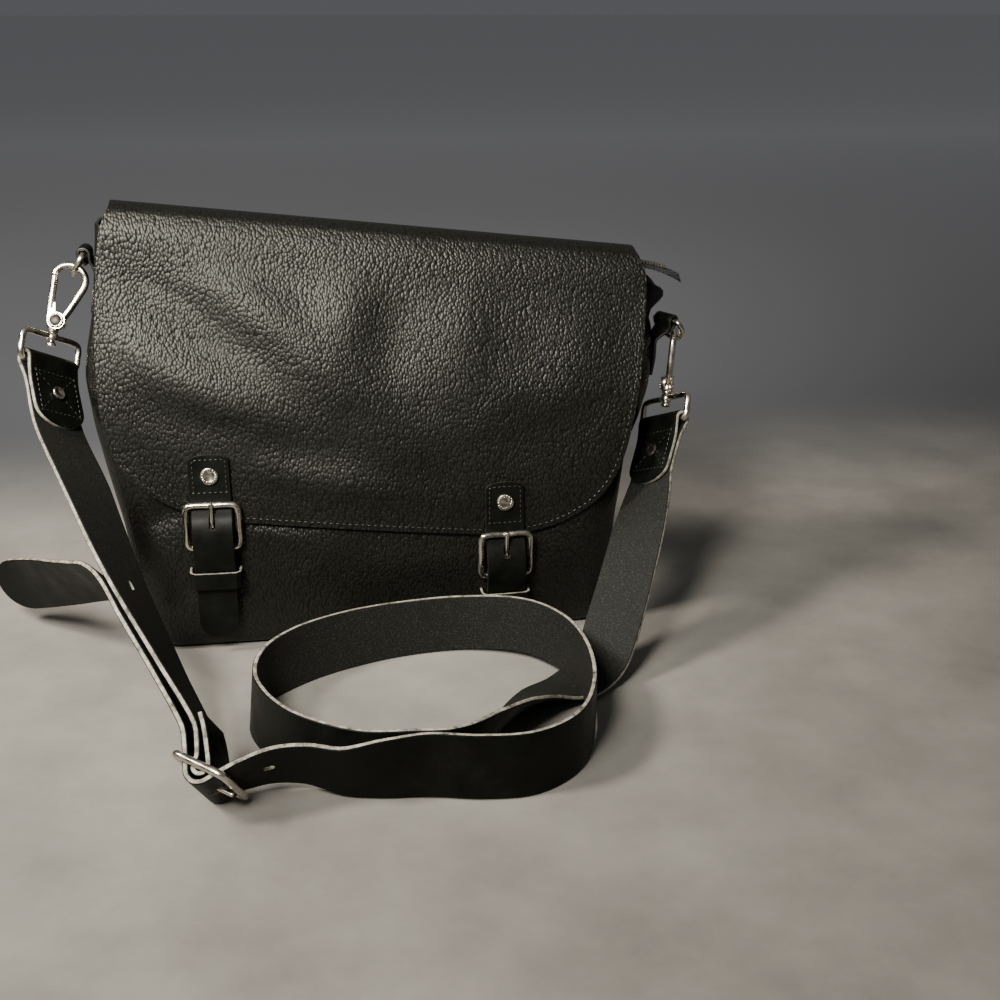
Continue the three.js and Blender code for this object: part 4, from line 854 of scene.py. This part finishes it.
def tube(points, radius, closed, steps, sides, tip=0.0):
    """Points and faces of a round wire through points; a tip above 0 rounds the open ends."""
    marks = [spline_point(points, i / steps, closed) for i in range(steps if closed else steps + 1)]
    rings = []
    up = None
    count = len(marks)
    for i in range(count):
        if closed:
            way = (marks[(i + 1) % count] - marks[i - 1]).normalized()
        else:
            way = (marks[min(i + 1, count - 1)] - marks[max(i - 1, 0)]).normalized()
        up = way.orthogonal().normalized() if up is None else (up - way * up.dot(way)).normalized()
        rings.append((marks[i], way, up, radius))
    if tip:
        first, last = rings[0], rings[-1]
        rings = [(first[0] - first[1] * tip * math.sin(a), first[1], first[2], radius * math.cos(a))
                 for a in (1.45, 1.1, 0.7, 0.35)] + rings
        rings += [(last[0] + last[1] * tip * math.sin(a), last[1], last[2], radius * math.cos(a))
                  for a in (0.35, 0.7, 1.1, 1.45)]
    spots = []
    for middle_spot, way, up, r in rings:
        side = way.cross(up)
        for k in range(sides):
            a = 2 * math.pi * k / sides
            spots.append(middle_spot + up * (r * math.cos(a)) + side * (r * math.sin(a)))
    faces = ring_faces(len(rings), sides)
    if closed:
        # the last ring meets the first turned by whole sides
        way, first_up = rings[0][1:3]
        last_up = rings[-1][2]
        carried = (last_up - way * last_up.dot(way)).normalized()
        angle = math.atan2(carried.dot(way.cross(first_up)), carried.dot(first_up))
        shift = round(angle / (2 * math.pi / sides))
        last = (len(rings) - 1) * sides
        faces = faces[:-2] + [(last + k, last + (k + 1) % sides, (k + 1 + shift) % sides, (k + shift) % sides)
                              for k in range(sides)]
    return spots, faces


def circle(middle_spot, direction, radius, count):
    """Points round a circle that faces a direction."""
    z = Vector(direction).normalized()
    x = z.orthogonal().normalized()
    y = z.cross(x)
    angles = [2 * math.pi * k / count for k in range(count)]
    return [Vector(middle_spot) + x * (radius * math.cos(a)) + y * (radius * math.sin(a)) for a in angles]


def turned(profile, base_spot, direction):
    """Points and faces of a turned piece: rows of (radius, height) along a direction from a spot."""
    sides = 32
    way = Vector(direction).normalized()
    rings = [circle(Vector(base_spot) + way * height, direction, radius, sides) for radius, height in profile]
    return [spot for ring in rings for spot in ring], ring_faces(len(profile), sides)


def metal(node, ending, forms, soft=60, finishes=(nickel,), body="bag"):
    """A plated piece for a CAD node from (points, faces) forms; a third value of a form is its finish."""
    points = []
    faces = []
    slots = []
    for form in forms:
        start = len(points)
        points += form[0]
        faces += [tuple(start + i for i in f) for f in form[1]]
        slots += [form[2] if len(form) > 2 else 0] * len(form[1])
    fit(make_object(node + ending, points, faces, finishes, slots, soft), body, node)


def rectangle(width, height, radius, middle_spot, along, up):
    """Points round a rectangle with rounded corners, for a closed wire."""
    spots = []
    for q, (sx, sy) in enumerate(((1, 1), (-1, 1), (-1, -1), (1, -1))):
        for t in (0, 0.5, 1):
            a = (q + t) * math.pi / 2
            x = sx * (width / 2 - radius) + radius * math.cos(a)
            y = sy * (height / 2 - radius) + radius * math.sin(a)
            spots.append(middle_spot + along * x + up * y)
        mx = 0 if q % 2 == 0 else sx * width / 2
        my = sy * height / 2 if q % 2 == 0 else 0
        spots.append(middle_spot + along * mx + up * my)
    return spots


# outline of a rivet's cap up to its sunk middle: share of its radius, share of its height
RIVET_RIM = [(0.92, 0), (1, 0.15), (1, 0.45), (0.95, 0.72), (0.88, 0.8), (0.6, 0.8), (0.56, 0.72)]


def rivet_cap(node, spot, direction, radius, height):
    """A tubular rivet's low cap with a rounded rim and a sunk flat middle."""
    rim = [(radius * r, height * h) for r, h in RIVET_RIM] + [(0.02, 0.7 * height)]
    metal(node, "_cap", [turned(rim, spot, direction)], 40)


def bead_ring(name, spot, direction, radius, size, count):
    """A ring of small beads on a cap."""
    ring = circle(spot, direction, radius, 64)
    line = [(place, direction) for place in ring + ring[:1]]
    beads = repeat_along(name, bead_tree, [line], 2 * math.pi * radius / count, size, nickel)
    fit(beads, "bag")


for name, fx, bar_z, above, below, band_drop in FASTENINGS:
    heel = bar_z - BUCKLE_SPAN

    def spot(x, z, off):
        return Vector((x, front_at(x, z) - off, z))

    def sidewise(z):
        return Vector((1, (front_at(fx + 10, z) - front_at(fx - 10, z)) / 20, 0)).normalized()

    along = sidewise(bar_z - 14)

    def row(z, off, x=fx):
        return spot(x, z, off), sidewise(z) if z > bar_z or z < heel - 15 else along

    on_flap = FLAP_CLEAR + WALL + GAP + FRONT_THICK / 2
    # the strap from its end on the flap to its tip: height, distance out from the front panel
    way_down = [(bar_z + above, on_flap), (bar_z + above - 10, on_flap), (bar_z + 12, on_flap + 0.1),
                (bar_z + 3, on_flap + 0.4), (bar_z - 3, on_flap + 1.2), (bar_z - 9, 11.2), (bar_z - 15, 13.5),
                (bar_z - 21, 14.3), (heel + 3, 14.1), (heel - 3, 12.8), (heel - 7, 11), (heel - 11, 9.6),
                (heel - 20, 8.7), (heel - 30, 8), (bar_z - below + 8, 6.6), (bar_z - below, 6.2)]
    strap = Strap([row(z, off) for z, off in way_down], FRONT_STRAP, FRONT_THICK, (4, 12))
    face = -1 if strap.frame(20)[3].y > 0 else 1
    piece = strap.mesh("flap_strap_" + name + "_leather", face, black_edge, 3.0)
    cut_hole(piece, spot(fx, bar_z - 10.5, 12), (0, 1, 0), 2.0, 8, (0, 0, 1), 2.4)
    fit(piece, "bag", "flap_strap_" + name)
    reach = FRONT_STRAP / 2 - 2.6
    end = above - 7
    corners = [(end, -reach), (4, -reach), (3.2, -reach + 1), (3, -6), (3, 0), (3, 6), (3.2, reach - 1),
               (4, reach), (end, reach)]
    box = [strap.on_face(s, a, face) for s, a in corners]
    low = [strap.on_face(end, a, face) for a in (-reach, -4, 4, reach)]
    stitches = repeat_along("flap_strap_" + name + "_stitches", bead_tree, [box, low], 3.2, (2.4, 0.7, 0.6),
                            waxed_thread)
    fit(stitches, "bag")

    rivet_z = bar_z + above - 13
    slope = (spot(fx, rivet_z + 4, on_flap) - spot(fx, rivet_z - 4, on_flap)).normalized()
    outward = frontward(slope.cross(Vector((1, 0, 0))))
    seat = spot(fx, rivet_z, on_flap + FRONT_THICK / 2 + GAP)
    rivet_cap("flap_rivet_" + name, seat, outward, 5.6, 2.2)
    bead_ring("flap_rivet_" + name + "_beads", seat + outward * 1.8, outward, 4.2, (1.0, 1.9, 0.6), 18)

    top_bar = spot(fx, bar_z, on_flap + 0.8 + FRONT_THICK / 2 + GAP + FRONT_BAR)
    heel_bar = spot(fx, heel, 6.4)
    up = (top_bar - heel_bar).normalized()
    ring = rectangle(FRONT_STRAP + 2 * FRONT_BAR + 2.6, (top_bar - heel_bar).length, 3.6,
                     (top_bar + heel_bar) / 2, along, up)
    metal("buckle_" + name, "_frame", [tube(ring, FRONT_BAR, True, 120, 16)])

    out_way = frontward(up.cross(along).normalized())
    eye = FRONT_BAR + GAP + PRONG_WIRE

    def around(angle, r):
        return heel_bar + out_way * (r * math.cos(angle)) + up * (r * math.sin(angle))

    tongue = [around(a, eye) for a in (-3.6, -2.7, -1.8, -0.9, 0, 0.55)]
    for rise, off in ((-16, 0.2), (-9, 1.3), (3, 1.9)):
        tongue.append(top_bar + up * rise + out_way * (FRONT_BAR + off))
    metal("buckle_prong_" + name, "_tongue", [tube(tongue, PRONG_WIRE, False, 60, 12, 0.5)])

    hold = FRONT_BAR + 3 * GAP + FRONT_THICK / 2
    tab_out = 2 * GAP + FRONT_THICK / 2
    tab_x = fx + TAB_SHIFT
    tab_up = np.linspace(bar_z - below + 13, heel - 14, math.ceil((heel - 23) / 9) + 1)
    tab_route = [row(z, tab_out, tab_x) for z in tab_up]
    tab_route.append(row(heel - 7, tab_out + 0.5, tab_x))
    for angle in (3.35, 2.9, 2.4, 2, 1.57, 1.1, 0.6, 0.2, -0.2):
        tab_route.append((around(angle, hold) + along * TAB_SHIFT, along))
    second_layer = tab_out + FRONT_THICK + GAP
    tab_route += [row(heel - 9, 6.4, tab_x), row(heel - 15, second_layer, tab_x),
                  row(heel - 21, second_layer, tab_x)]
    tab = Strap(tab_route, FRONT_STRAP - 2, FRONT_THICK)
    piece = tab.mesh("buckle_tab_" + name + "_leather", 0, black_edge, 4.0)
    cut_hole(piece, (fx, heel_bar.y - 2, heel - 0.5), (0, 1, 0), 2.2, 7, (0, 0, 1), 4.3)
    fit(piece, "bag", "buckle_tab_" + name)

    top = bar_z - band_drop
    half = FRONT_STRAP / 2 + 1.9
    # the keeper's inner face: across the strap, out from the front panel
    right_half = [(6, 12.05), (half - 2.5, 11.8), (half - 0.7, 10.6), (half, 8.3), (half, 4),
                  (half, GAP + 0.2)]
    band = [(-x, off) for x, off in reversed(right_half)] + [(0, 12.1)] + right_half

    def band_point(i, z, lift):
        x, off = band[i]
        side = 0 if abs(x) < 7 else math.copysign(1 if abs(x) > half - 1.5 else 0.4, x)
        front_lift = lift if abs(x) < half - 1.5 else lift * 0.4 if off > 5 else 0
        return spot(fx + x + side * lift, z, off + front_lift)

    keeper_rows = np.linspace(top, top - KEEPER_HIGH, 9)
    columns = list(range(len(band)))
    keeper = leather_sheet("keeper_" + name + "_leather",
                           grid_of(keeper_rows, columns, lambda i, z: band_point(i, z, KEEPER_THICK)),
                           grid_of(keeper_rows, columns, lambda i, z: band_point(i, z, 0.0)),
                           [strap_grain, flesh_side, raw_edge])
    round_edges(keeper, 0.35)
    fit(keeper, "bag", "keeper_" + name)

# Shoulder-strap ends: on each gusset a leather tab holds a D-ring, and a cast trigger hook with a spring gate
# hangs in it. The hook's stem turns in a rectangular wire loop, round which the strap is folded and riveted.

STRAP = 38.0
STRAP_THICK = 3.0
RING_WIRE = 1.8
RING_TAB = 16
RING_TAB_THICK = 2.0
LIMB = 2.2
LOOP_WIRE = 2.0
# on the hook, inwards and along it from the end of its stem: the middle of the cheeks and the gate's hinge
CHEEKS = (1.6, 14)
HINGE = (-1, 14)
# D-ring bar, turn of the bar, way to the ring's far wire, hook axis, across the loop, spin of the hook,
# way that the strap hangs
ENDS = {
    "left": ((-174.4, 3, 251.6), 0, (-8, 0, -13), (0.17, 0.42, 0.89), (0.61, 0.67, -0.43), 0,
             (0.25, -0.55, -0.79)),
    "right": ((198, 2, 197), -25, (8, 0, -13.2), (0.22, 0.5, 0.84), (-0.44, 0.84, -0.32), 77,
              (-0.32, -0.62, -0.72)),
}

# Black nickel on the flat middle of the pivot caps, darker than the plate round it.
dark_nickel = mottled("black_nickel", 2.5, 3.0, [(0.3, "#1C1B19"), (0.7, "#35332F")], 0.35, Metallic=1.0)

strap_ends = {}
for name, (bar, bar_turn, out, axis, over, spin, hang) in ENDS.items():
    side = -1 if name == "left" else 1
    bar = Vector(bar)
    turn = math.radians(bar_turn)
    depth = Vector((math.sin(turn), math.cos(turn), 0))
    away = Vector((side * math.cos(turn), -side * math.sin(turn), 0))
    out = Vector(out)
    out -= depth * out.dot(depth)
    out_way = out.normalized()
    far = out.length
    bow = [(-8, 0), (0, 0), (8, 0), (11.4, 0.6), (12.8, 3), (12.4, 7), (9.6, far * 0.72), (5.2, far * 0.94),
           (0, far), (-5.2, far * 0.94), (-9.6, far * 0.72), (-12.4, 7), (-12.8, 3), (-11.4, 0.6)]
    bend = [bar + depth * b + out_way * o for b, o in bow]
    metal("d_ring_" + name, "_wire", [tube(bend, RING_WIRE, True, 110, 16)])

    tab_hold = RING_WIRE + 2 * GAP + RING_TAB_THICK / 2

    def gusset_x(z):
        return gusset_point(side, 0, round(z / rim_at(side * body_at(0.8)[0]), 4))[0]

    def tab_at(z):
        return Vector((gusset_x(z) + side * (GAP + 1.9), bar.y, z)), Vector((0, 1, 0))

    def tab_turn(angle, low=0.0):
        p = bar - away * (tab_hold * math.cos(angle))
        p.z = bar.z + tab_hold * math.sin(angle) - low
        return p, depth

    tab_route = [tab_at(bar.z - 36), tab_at(bar.z - 24), tab_at(bar.z - 12), tab_turn(0, 4)]
    tab_route += [tab_turn(a) for a in (0, 0.4, 0.8, 1.2, 1.57, 1.95, 2.35, 2.75, math.pi)]
    first_low = tab_at(bar.z - 12)[0]
    slant = tab_turn(0, 4)[0] - first_low
    off_way = (away - slant * (away.dot(slant) / slant.length_squared)).normalized()
    for share, off in ((1, 2 + GAP + 1.2), (0.78, 2 + GAP + 0.6)):
        tab_route.append((first_low + slant * share + off_way * off, Vector((0, 1, 0)).lerp(depth, share)))
    tab = Strap(tab_route, RING_TAB, RING_TAB_THICK)
    piece = tab.mesh("ring_tab_" + name + "_leather", 0, black_edge, 3.0)
    fit(piece, "bag", "ring_tab_" + name)

    axis = Vector(axis).normalized()
    inward = Vector((-side, 0, 0))
    inward = (inward - axis * inward.dot(axis)).normalized()
    inward = Quaternion(axis, math.radians(spin * side)) @ inward
    facing = inward.cross(axis)
    root = bar + out - inward * 7.4 - axis * 45.2

    def hook_at(x, y, n=0.0):
        return root + inward * x + axis * y + facing * n

    limb = [hook_at(x, y) for x, y in ((3.6, 14), (7.5, 21), (12.2, 31), (15, 38), (14.6, 44), (10.5, 49),
                                       (5, 50.4), (0, 49), (-3, 45.6), (-3.4, 43.3))]
    # outlines of turned parts: radius, height
    stem = [(2.2, -1.8), (2.9, -1.6), (3.0, -0.6), (2.6, 0.4), (1.9, 0.9), (1.9, 1.4), (1.9, 6.6), (2.6, 6.8),
            (3.4, 7.2), (3.5, 7.7), (3.1, 8.1), (3.6, 8.6), (4.0, 10.6), (4.0, 11.8), (3.2, 12.6)]
    cheek = [(5.1, 0), (5.4, 0.25), (5.4, 1.6), (5.2, 1.85)]
    knob = [(4.6, 0), (4.75, 0.3), (4.6, 0.9), (4.2, 1.25), (3.6, 1.3), (3.3, 1.1), (3.2, 1.05)]
    knob_middle = [(3.2, 0), (3.2, 1.0), (2.6, 1.2), (0.02, 1.3)]
    pin = [(1.1, -3.7), (1.1, 3.7)]
    forms = [tube(limb, LIMB, False, 90, 16), turned(stem, root, axis),
             turned(cheek, hook_at(*CHEEKS, 1.85), facing), turned(cheek, hook_at(*CHEEKS, -1.85), -facing),
             turned(knob, hook_at(*CHEEKS, 3.7), facing),
             turned(knob_middle, hook_at(*CHEEKS, 3.8), facing) + (1,), turned(pin, hook_at(*HINGE), facing)]
    metal("hook_" + name, "_casting", forms, 40, (nickel, dark_nickel))
    bead_ring("hook_" + name + "_beads", hook_at(*CHEEKS, 4.95), facing, 3.95, (0.9, 0.7, 0.6), 20)

    leaf = [(-4.3, 15.5), (-4.35, 25.5), (-0.9, 25.5), (0.2, 16.8)]
    leaf_points = [hook_at(x, y, n) for n in (-1.4, 1.4) for x, y in leaf]
    barrel = [(2.85, -1.45), (2.9, -1.3), (2.9, 1.3), (2.85, 1.45)]
    gate = [tube([hook_at(-3.4, 22.0), hook_at(-3.4, 32), hook_at(-3.4, 42.2)], LIMB, False, 10, 16),
            turned(barrel, hook_at(*HINGE), facing), (leaf_points, ring_faces(2, len(leaf)))]
    metal("hook_gate_" + name, "_spring_gate", gate, 40, body=name + "_gate")

    over = Vector(over)
    over = (over - axis * over.dot(axis)).normalized()
    loop_top = root + axis * 4
    wire = tube(rectangle(STRAP + 6, 17, 4, loop_top - axis * 8.5, over, axis), LOOP_WIRE, True, 140, 16)
    boss = turned([(3.3, -2.2), (3.6, -1.9), (3.6, 1.9), (3.3, 2.2)], loop_top, axis)
    metal("strap_loop_" + name, "_wire", [wire, boss], 50)

    hang = Vector(hang)
    hang = (hang - over * hang.dot(over)).normalized()
    front_way = frontward(hang.cross(over).normalized())
    strap_ends[name] = (loop_top - axis * 17, over, hang, front_way)

# Shoulder-strap buckle: a plain rectangular frame of round nickel-plated wire with a middle bar and a tongue.
# The short strap is folded round the middle bar, and the long strap runs through the frame.

ALONG = Vector((0.825, -0.52, -0.225)).normalized()
UPRIGHT = Vector((-0.214, -0.654, 0.728))
UPRIGHT = (UPRIGHT - ALONG * UPRIGHT.dot(ALONG)).normalized()
OUTER = ALONG.cross(UPRIGHT)
BUCKLE_MIDDLE = Vector((-104.6, -242.4, 21.4))
BUCKLE_WIRE = 2.1
BUCKLE_HALF = 21.5
TONGUE_HOLD = 3.7


def on_buckle(l, n, u=0.0):
    return BUCKLE_MIDDLE + ALONG * l + OUTER * n + UPRIGHT * u


ring = rectangle(29.6, 2 * BUCKLE_HALF, 3.6, BUCKLE_MIDDLE, ALONG, UPRIGHT)
middle_bar = [on_buckle(0, 0, height) for height in (-BUCKLE_HALF, 0, BUCKLE_HALF)]
metal("strap_buckle", "_frame", [tube(ring, BUCKLE_WIRE, True, 140, 16), tube(middle_bar, 2.0, False, 8, 16)])
tongue = [on_buckle(TONGUE_HOLD * math.cos(a), TONGUE_HOLD * math.sin(a)) for a in (4.6, 3.8, 3, 2.2, 1.5)]
tongue += [on_buckle(4, TONGUE_HOLD), on_buckle(9, 3.9), on_buckle(15.6, 3.9)]
metal("strap_prong", "_tongue", [tube(tongue, 1.3, False, 60, 12, 0.5)])

# Shoulder strap: two lengths of 38 mm strap leather, 3 mm thick, black on the grain and the flesh side, with
# tan raw edges. The short one joins the left hook to the buckle. The long one runs from the right hook down
# to the floor, once round, through the buckle and on as a free tail.

# from the middle of a fold to the middle of each of its two layers
LAYER = (STRAP_THICK + GAP) / 2 + 0.1


def fold_rows(end, tip):
    """Route of a strap's end: from its tip in front, round the loop's wire and down behind."""
    low, over, hang, front_way = end
    hold = LOOP_WIRE + 3 * GAP + STRAP_THICK / 2

    def fold(down, off):
        return low + hang * down + front_way * off, over

    turns = [fold(-hold * math.sin(a), hold * math.cos(a))
             for a in (-0.2, 0.2, 0.6, 1, 1.3, 1.57, 1.84, 2.14, 2.54, 2.94, 3.34)]
    rows = [fold(tip, LAYER), fold(tip * 0.75, LAYER), fold(tip * 0.5, LAYER), fold(15, LAYER), fold(8, 2.7)]
    return rows + turns + [fold(8, -2.7), fold(15, -LAYER), fold(40, -LAYER)]


def buckle_row(l, n):
    return on_buckle(l, n), -UPRIGHT


BAR_HOLD = BUCKLE_WIRE + GAP + STRAP_THICK / 2
FOLD_TIPS = {"short": 45, "long": 46}
# routes: place of the strap's middle line and the way across it
short_route = fold_rows(strap_ends["left"], FOLD_TIPS["short"])
short_route += [((-175, -92, 133), (0.62, 0.66, -0.42)), ((-153, -136, 94), (0.52, 0.6, -0.6)),
                ((-127.5, -181, 57.5), (0.36, 0.62, -0.7))]
short_route += [buckle_row(l, n) for l, n in (
    (-13.8, -17), (-7.7, -9), (-4.3, -3), (-BAR_HOLD, 0.4), (-2.6, 2.9), (0, BAR_HOLD), (2.8, 2.7),
    (BAR_HOLD, 0), (3.2, -2.6), (-2, -9.6), (-9, -18.2), (-15, -24.2))]
long_route = fold_rows(strap_ends["right"], FOLD_TIPS["long"])
long_route += [
    ((164, -72, 75), (-0.72, 0.66, -0.2)), ((143, -106, 36), (-0.76, 0.64, -0.06)),
    ((127, -127, 10.5), (-0.72, 0.69, -0.03)), ((110, -140, 3.4), (-0.62, 0.78, -0.03)),
    ((89, -156, 6.8), (-0.62, 0.74, -0.2)), ((66, -186, 14.4), (-0.6, 0.5, -0.6)),
    ((45, -220, 19), (-0.3, 0.2, -0.93)), ((24, -241, 19.8), (-0.03, 0.05, -1)),
    ((0, -240, 19.6), (0, 0.05, -1)), ((-24, -237, 19.4), (0, 0.03, -1)), ((-44, -226, 19.3), (0, 0.02, -1)),
    ((-64, -207, 19.2), (0, 0.02, -1)), ((-79, -181, 19.2), (-0.08, 0, -1)),
    ((-84, -156, 19.2), (-0.1, 0, -1)), ((-77, -128, 19.2), (-0.06, -0.06, -1)),
    ((-56, -104, 19.2), (0, -0.12, -1)), ((-24, -86, 19.2), (0, -0.1, -1)),
    ((14, -76, 19.4), (0, 0, -1)), ((52, -77, 21), (0, 0.06, -1)), ((86, -94, 24), (0, 0.05, -1)),
    ((105, -126, 25.4), (0, 0, -1)), ((111, -166, 24.6), (0, 0, -1)), ((106, -204, 21), (0, 0.04, -1)),
    ((90, -235, 19.4), (0, 0.04, -1)), ((64, -252, 19.3), (0, 0, -1)), ((36, -252.5, 19.8), (0, 0, -1)),
    ((8, -246.5, 20), (0, 0, -1)), ((-16, -246.5, 19.9), (0, 0.15, -1)), ((-37, -246, 20), (0, 0.4, -1)),
    ((-56, -240, 22.8), (0, 0.55, -1)), ((-73, -241.5, 24.6), (0.1, 0.6, -0.9)),
]
long_route += [buckle_row(l, n) for l, n in (
    (13.8, -6.6), (11.5, -3.3), (9.2, 0), (6.9, 3.6), (4.4, 6.8), (0, 8.4), (-4.4, 6.8), (-6.9, 3.6),
    (-9.2, 0), (-11.5, -3.3), (-13.8, -6.6), (-18.5, -12.6))]
long_route += [
    ((-133, -171, 51.3), (0.4, 0.6, -0.7)), ((-146, -147, 67.1), (0.45, 0.6, -0.66)),
    ((-158, -120, 75.6), (0.45, 0.55, -0.7)), ((-169, -96, 72.8), (0.42, 0.5, -0.76)),
    ((-181, -75, 65), (0.38, 0.44, -0.81)), ((-198, -51, 55.2), (0.3, 0.36, -0.88)),
    ((-215, -27, 45.6), (0.2, 0.28, -0.94)), ((-233, -4, 36), (0.12, 0.2, -0.97)),
    ((-252, 14, 29), (0.1, 0.15, -0.98)),
]
# name, hook, route, rounded tips, side of the grain; the tongue's hole: along the buckle, out of it, depth,
# half length; the spare hole's place
STRAPS = [
    ("short", "left", short_route, (13, 0), -1, (1.5, 1.5, 8, 4.5), (-148.8, -143.2, 88.0)),
    ("long", "right", long_route, (13, 24), 1, (7.2, 4, 6, 1.5), (-75.5, -241.6, 24.8)),
]
for name, end, route, tips, grain_face, (at, off, depth, half_length), spare in STRAPS:
    strap = Strap(route, STRAP, STRAP_THICK, tips)
    piece = strap.mesh("strap_" + name + "_leather", grain_face, raw_edge, 5.0)
    cut_hole(piece, on_buckle(at, off), OUTER, 2.5, depth, ALONG, half_length)
    nearest = min(range(len(strap.line)), key=lambda i: (strap.line[i] - Vector(spare)).length)
    middle_spot, way, over, out = strap.frame(strap.run[nearest])
    cut_hole(piece, middle_spot, out, 1.9, 5, way, 1.4)
    fit(piece, "bag", "strap_" + name)

    reach = STRAP / 2 - 4
    box = [(9, -reach), (36, -reach), (36, reach), (9, reach), (9, -reach)]
    cross = [[(9, -reach), (17, -6)], [(27, 6), (36, reach)], [(9, reach), (17, 6)], [(27, -6), (36, -reach)]]
    lines = [[strap.on_face(max(FOLD_TIPS[name] - down, 0), a, grain_face) for down, a in path]
             for path in [box] + cross]
    stitches = repeat_along("strap_" + name + "_stitches", bead_tree, lines, 3.4, (2.6, 0.7, 0.6),
                            waxed_thread)
    fit(stitches, "bag")

    low, over, hang, front_way = strap_ends[end]
    seat = low + hang * 22 + front_way * (LAYER + STRAP_THICK / 2 + GAP)
    rivet_cap("strap_rivet_" + end, seat, front_way, 4.6, 1.8)

# Stage: a plain pale floor, a grey studio with a soft key light from the upper left, a weaker one from the
# front and a spotlight that brings out the waves of the flap, and a camera where the photograph was taken.

floor_finish, tree, place, shader = new_finish("pale_floor")
mottle = put(tree, "ShaderNodeTexNoise", None, {
    "Vector": place, "Scale": 1000 / 120, "Detail": 8.0, "Roughness": 0.65})
floor_tone = put(tree, "ShaderNodeValToRGB", None, {"Fac": mottle.outputs[0]})
set_ramp(floor_tone, [(0.3, "#686560"), (0.7, "#85827B")])
# well behind the bag the floor passes into a backdrop whose colour is painted light: dark where it begins and
# paler with distance, standing in for the light on a studio backdrop
depth_of_floor = put(tree, "ShaderNodeSeparateXYZ", None, {"Vector": place})
fade = put(tree, "ShaderNodeMapRange", {"interpolation_type": "SMOOTHSTEP"}, {
    "Value": depth_of_floor.outputs["Y"], "From Min": 0.1, "From Max": 0.5})
distance = put(tree, "ShaderNodeMapRange", None, {
    "Value": depth_of_floor.outputs["Y"], "From Min": 0.4, "From Max": 3.4})
backdrop = put(tree, "ShaderNodeValToRGB", None, {"Fac": distance.outputs["Result"]})
set_ramp(backdrop, [(0.0, "#46484D"), (0.3, "#7E8086"), (1.0, "#BCBEC4")])
shade = put(tree, "ShaderNodeMix", {"data_type": "RGBA"}, {
    0: fade.outputs["Result"], 6: floor_tone.outputs["Color"], 7: backdrop.outputs["Color"]})
feed(tree, shader, {"Base Color": shade.outputs[2], "Roughness": 0.8})
FLOOR_HALF = 40000
corners = [(x * FLOOR_HALF, y * FLOOR_HALF, -0.2) for x, y in ((-1, -1), (1, -1), (1, 1), (-1, 1))]
floor = make_object("floor", corners, [(0, 1, 2, 3)], [floor_finish])

world = bpy.data.worlds.new("studio")
bpy.context.scene.world = world
world.use_nodes = True
sky = world.node_tree.nodes["Background"]
height = put(world.node_tree, "ShaderNodeSeparateXYZ", None, {
    "Vector": put(world.node_tree, "ShaderNodeTexCoord").outputs["Generated"]})
ceiling = put(world.node_tree, "ShaderNodeValToRGB", None, {"Fac": height.outputs["Z"]})
set_ramp(ceiling, [(0.0, "#A2A4AA"), (0.35, "#A8AAB0"), (0.9, "#E6E4E0")])
feed(world.node_tree, sky, {"Color": ceiling.outputs["Color"], "Strength": 0.26})


def add_light(kind, name, spot, target, power, colour):
    """Adds a light at a spot that shines on a target, in metres, and returns its data."""
    data = bpy.data.lights.new(name, kind)
    data.energy = power
    data.color = tone(colour)[:3]
    light = bpy.data.objects.new(name, data)
    way = Vector(target) - Vector(spot)
    light.matrix_world = Matrix.Translation(spot) @ way.to_track_quat("-Z", "Y").to_matrix().to_4x4()
    bpy.context.scene.collection.objects.link(light)
    return data


add_light("AREA", "key", (-1.15, -0.4, 1.25), (0, -0.05, 0.12), 40, "#FFF8EC").size = 0.3
add_light("AREA", "front", (-0.5, -0.85, 0.95), (-0.04, 0, 0.15), 11, "#FFFCF4").size = 0.35
beam = add_light("SPOT", "beam", (-0.42, -0.95, 0.9), (-0.09, -0.03, 0.21), 150, "#FFFBEF")
beam.spot_size = math.radians(40)
beam.spot_blend = 1.0
beam.shadow_soft_size = 0.16

# the camera's bearing and height above the floor in degrees, its place in metres, and the focal length and
# the photograph's width in pixels
BEARING = math.radians(-9)
ELEVATION = math.radians(20)
CAMERA_PLACE = (-0.0539, -0.8765, 0.3982)
FOCAL_PIXELS = 1374
PHOTO_PIXELS = 1000
SENSOR_MM = 36
right = Vector((math.cos(BEARING), math.sin(BEARING), 0))
back = Vector((math.sin(BEARING), -math.cos(BEARING), 0)) * math.cos(ELEVATION)
back.z = math.sin(ELEVATION)
lens = bpy.data.cameras.new("camera")
lens.sensor_width = SENSOR_MM
lens.lens = SENSOR_MM * FOCAL_PIXELS / PHOTO_PIXELS
camera = bpy.data.objects.new("camera", lens)
turn = Matrix((right, back.cross(right), back)).transposed().to_4x4()
camera.matrix_world = Matrix.Translation(CAMERA_PLACE) @ turn
bpy.context.scene.collection.objects.link(camera)
bpy.context.scene.camera = camera
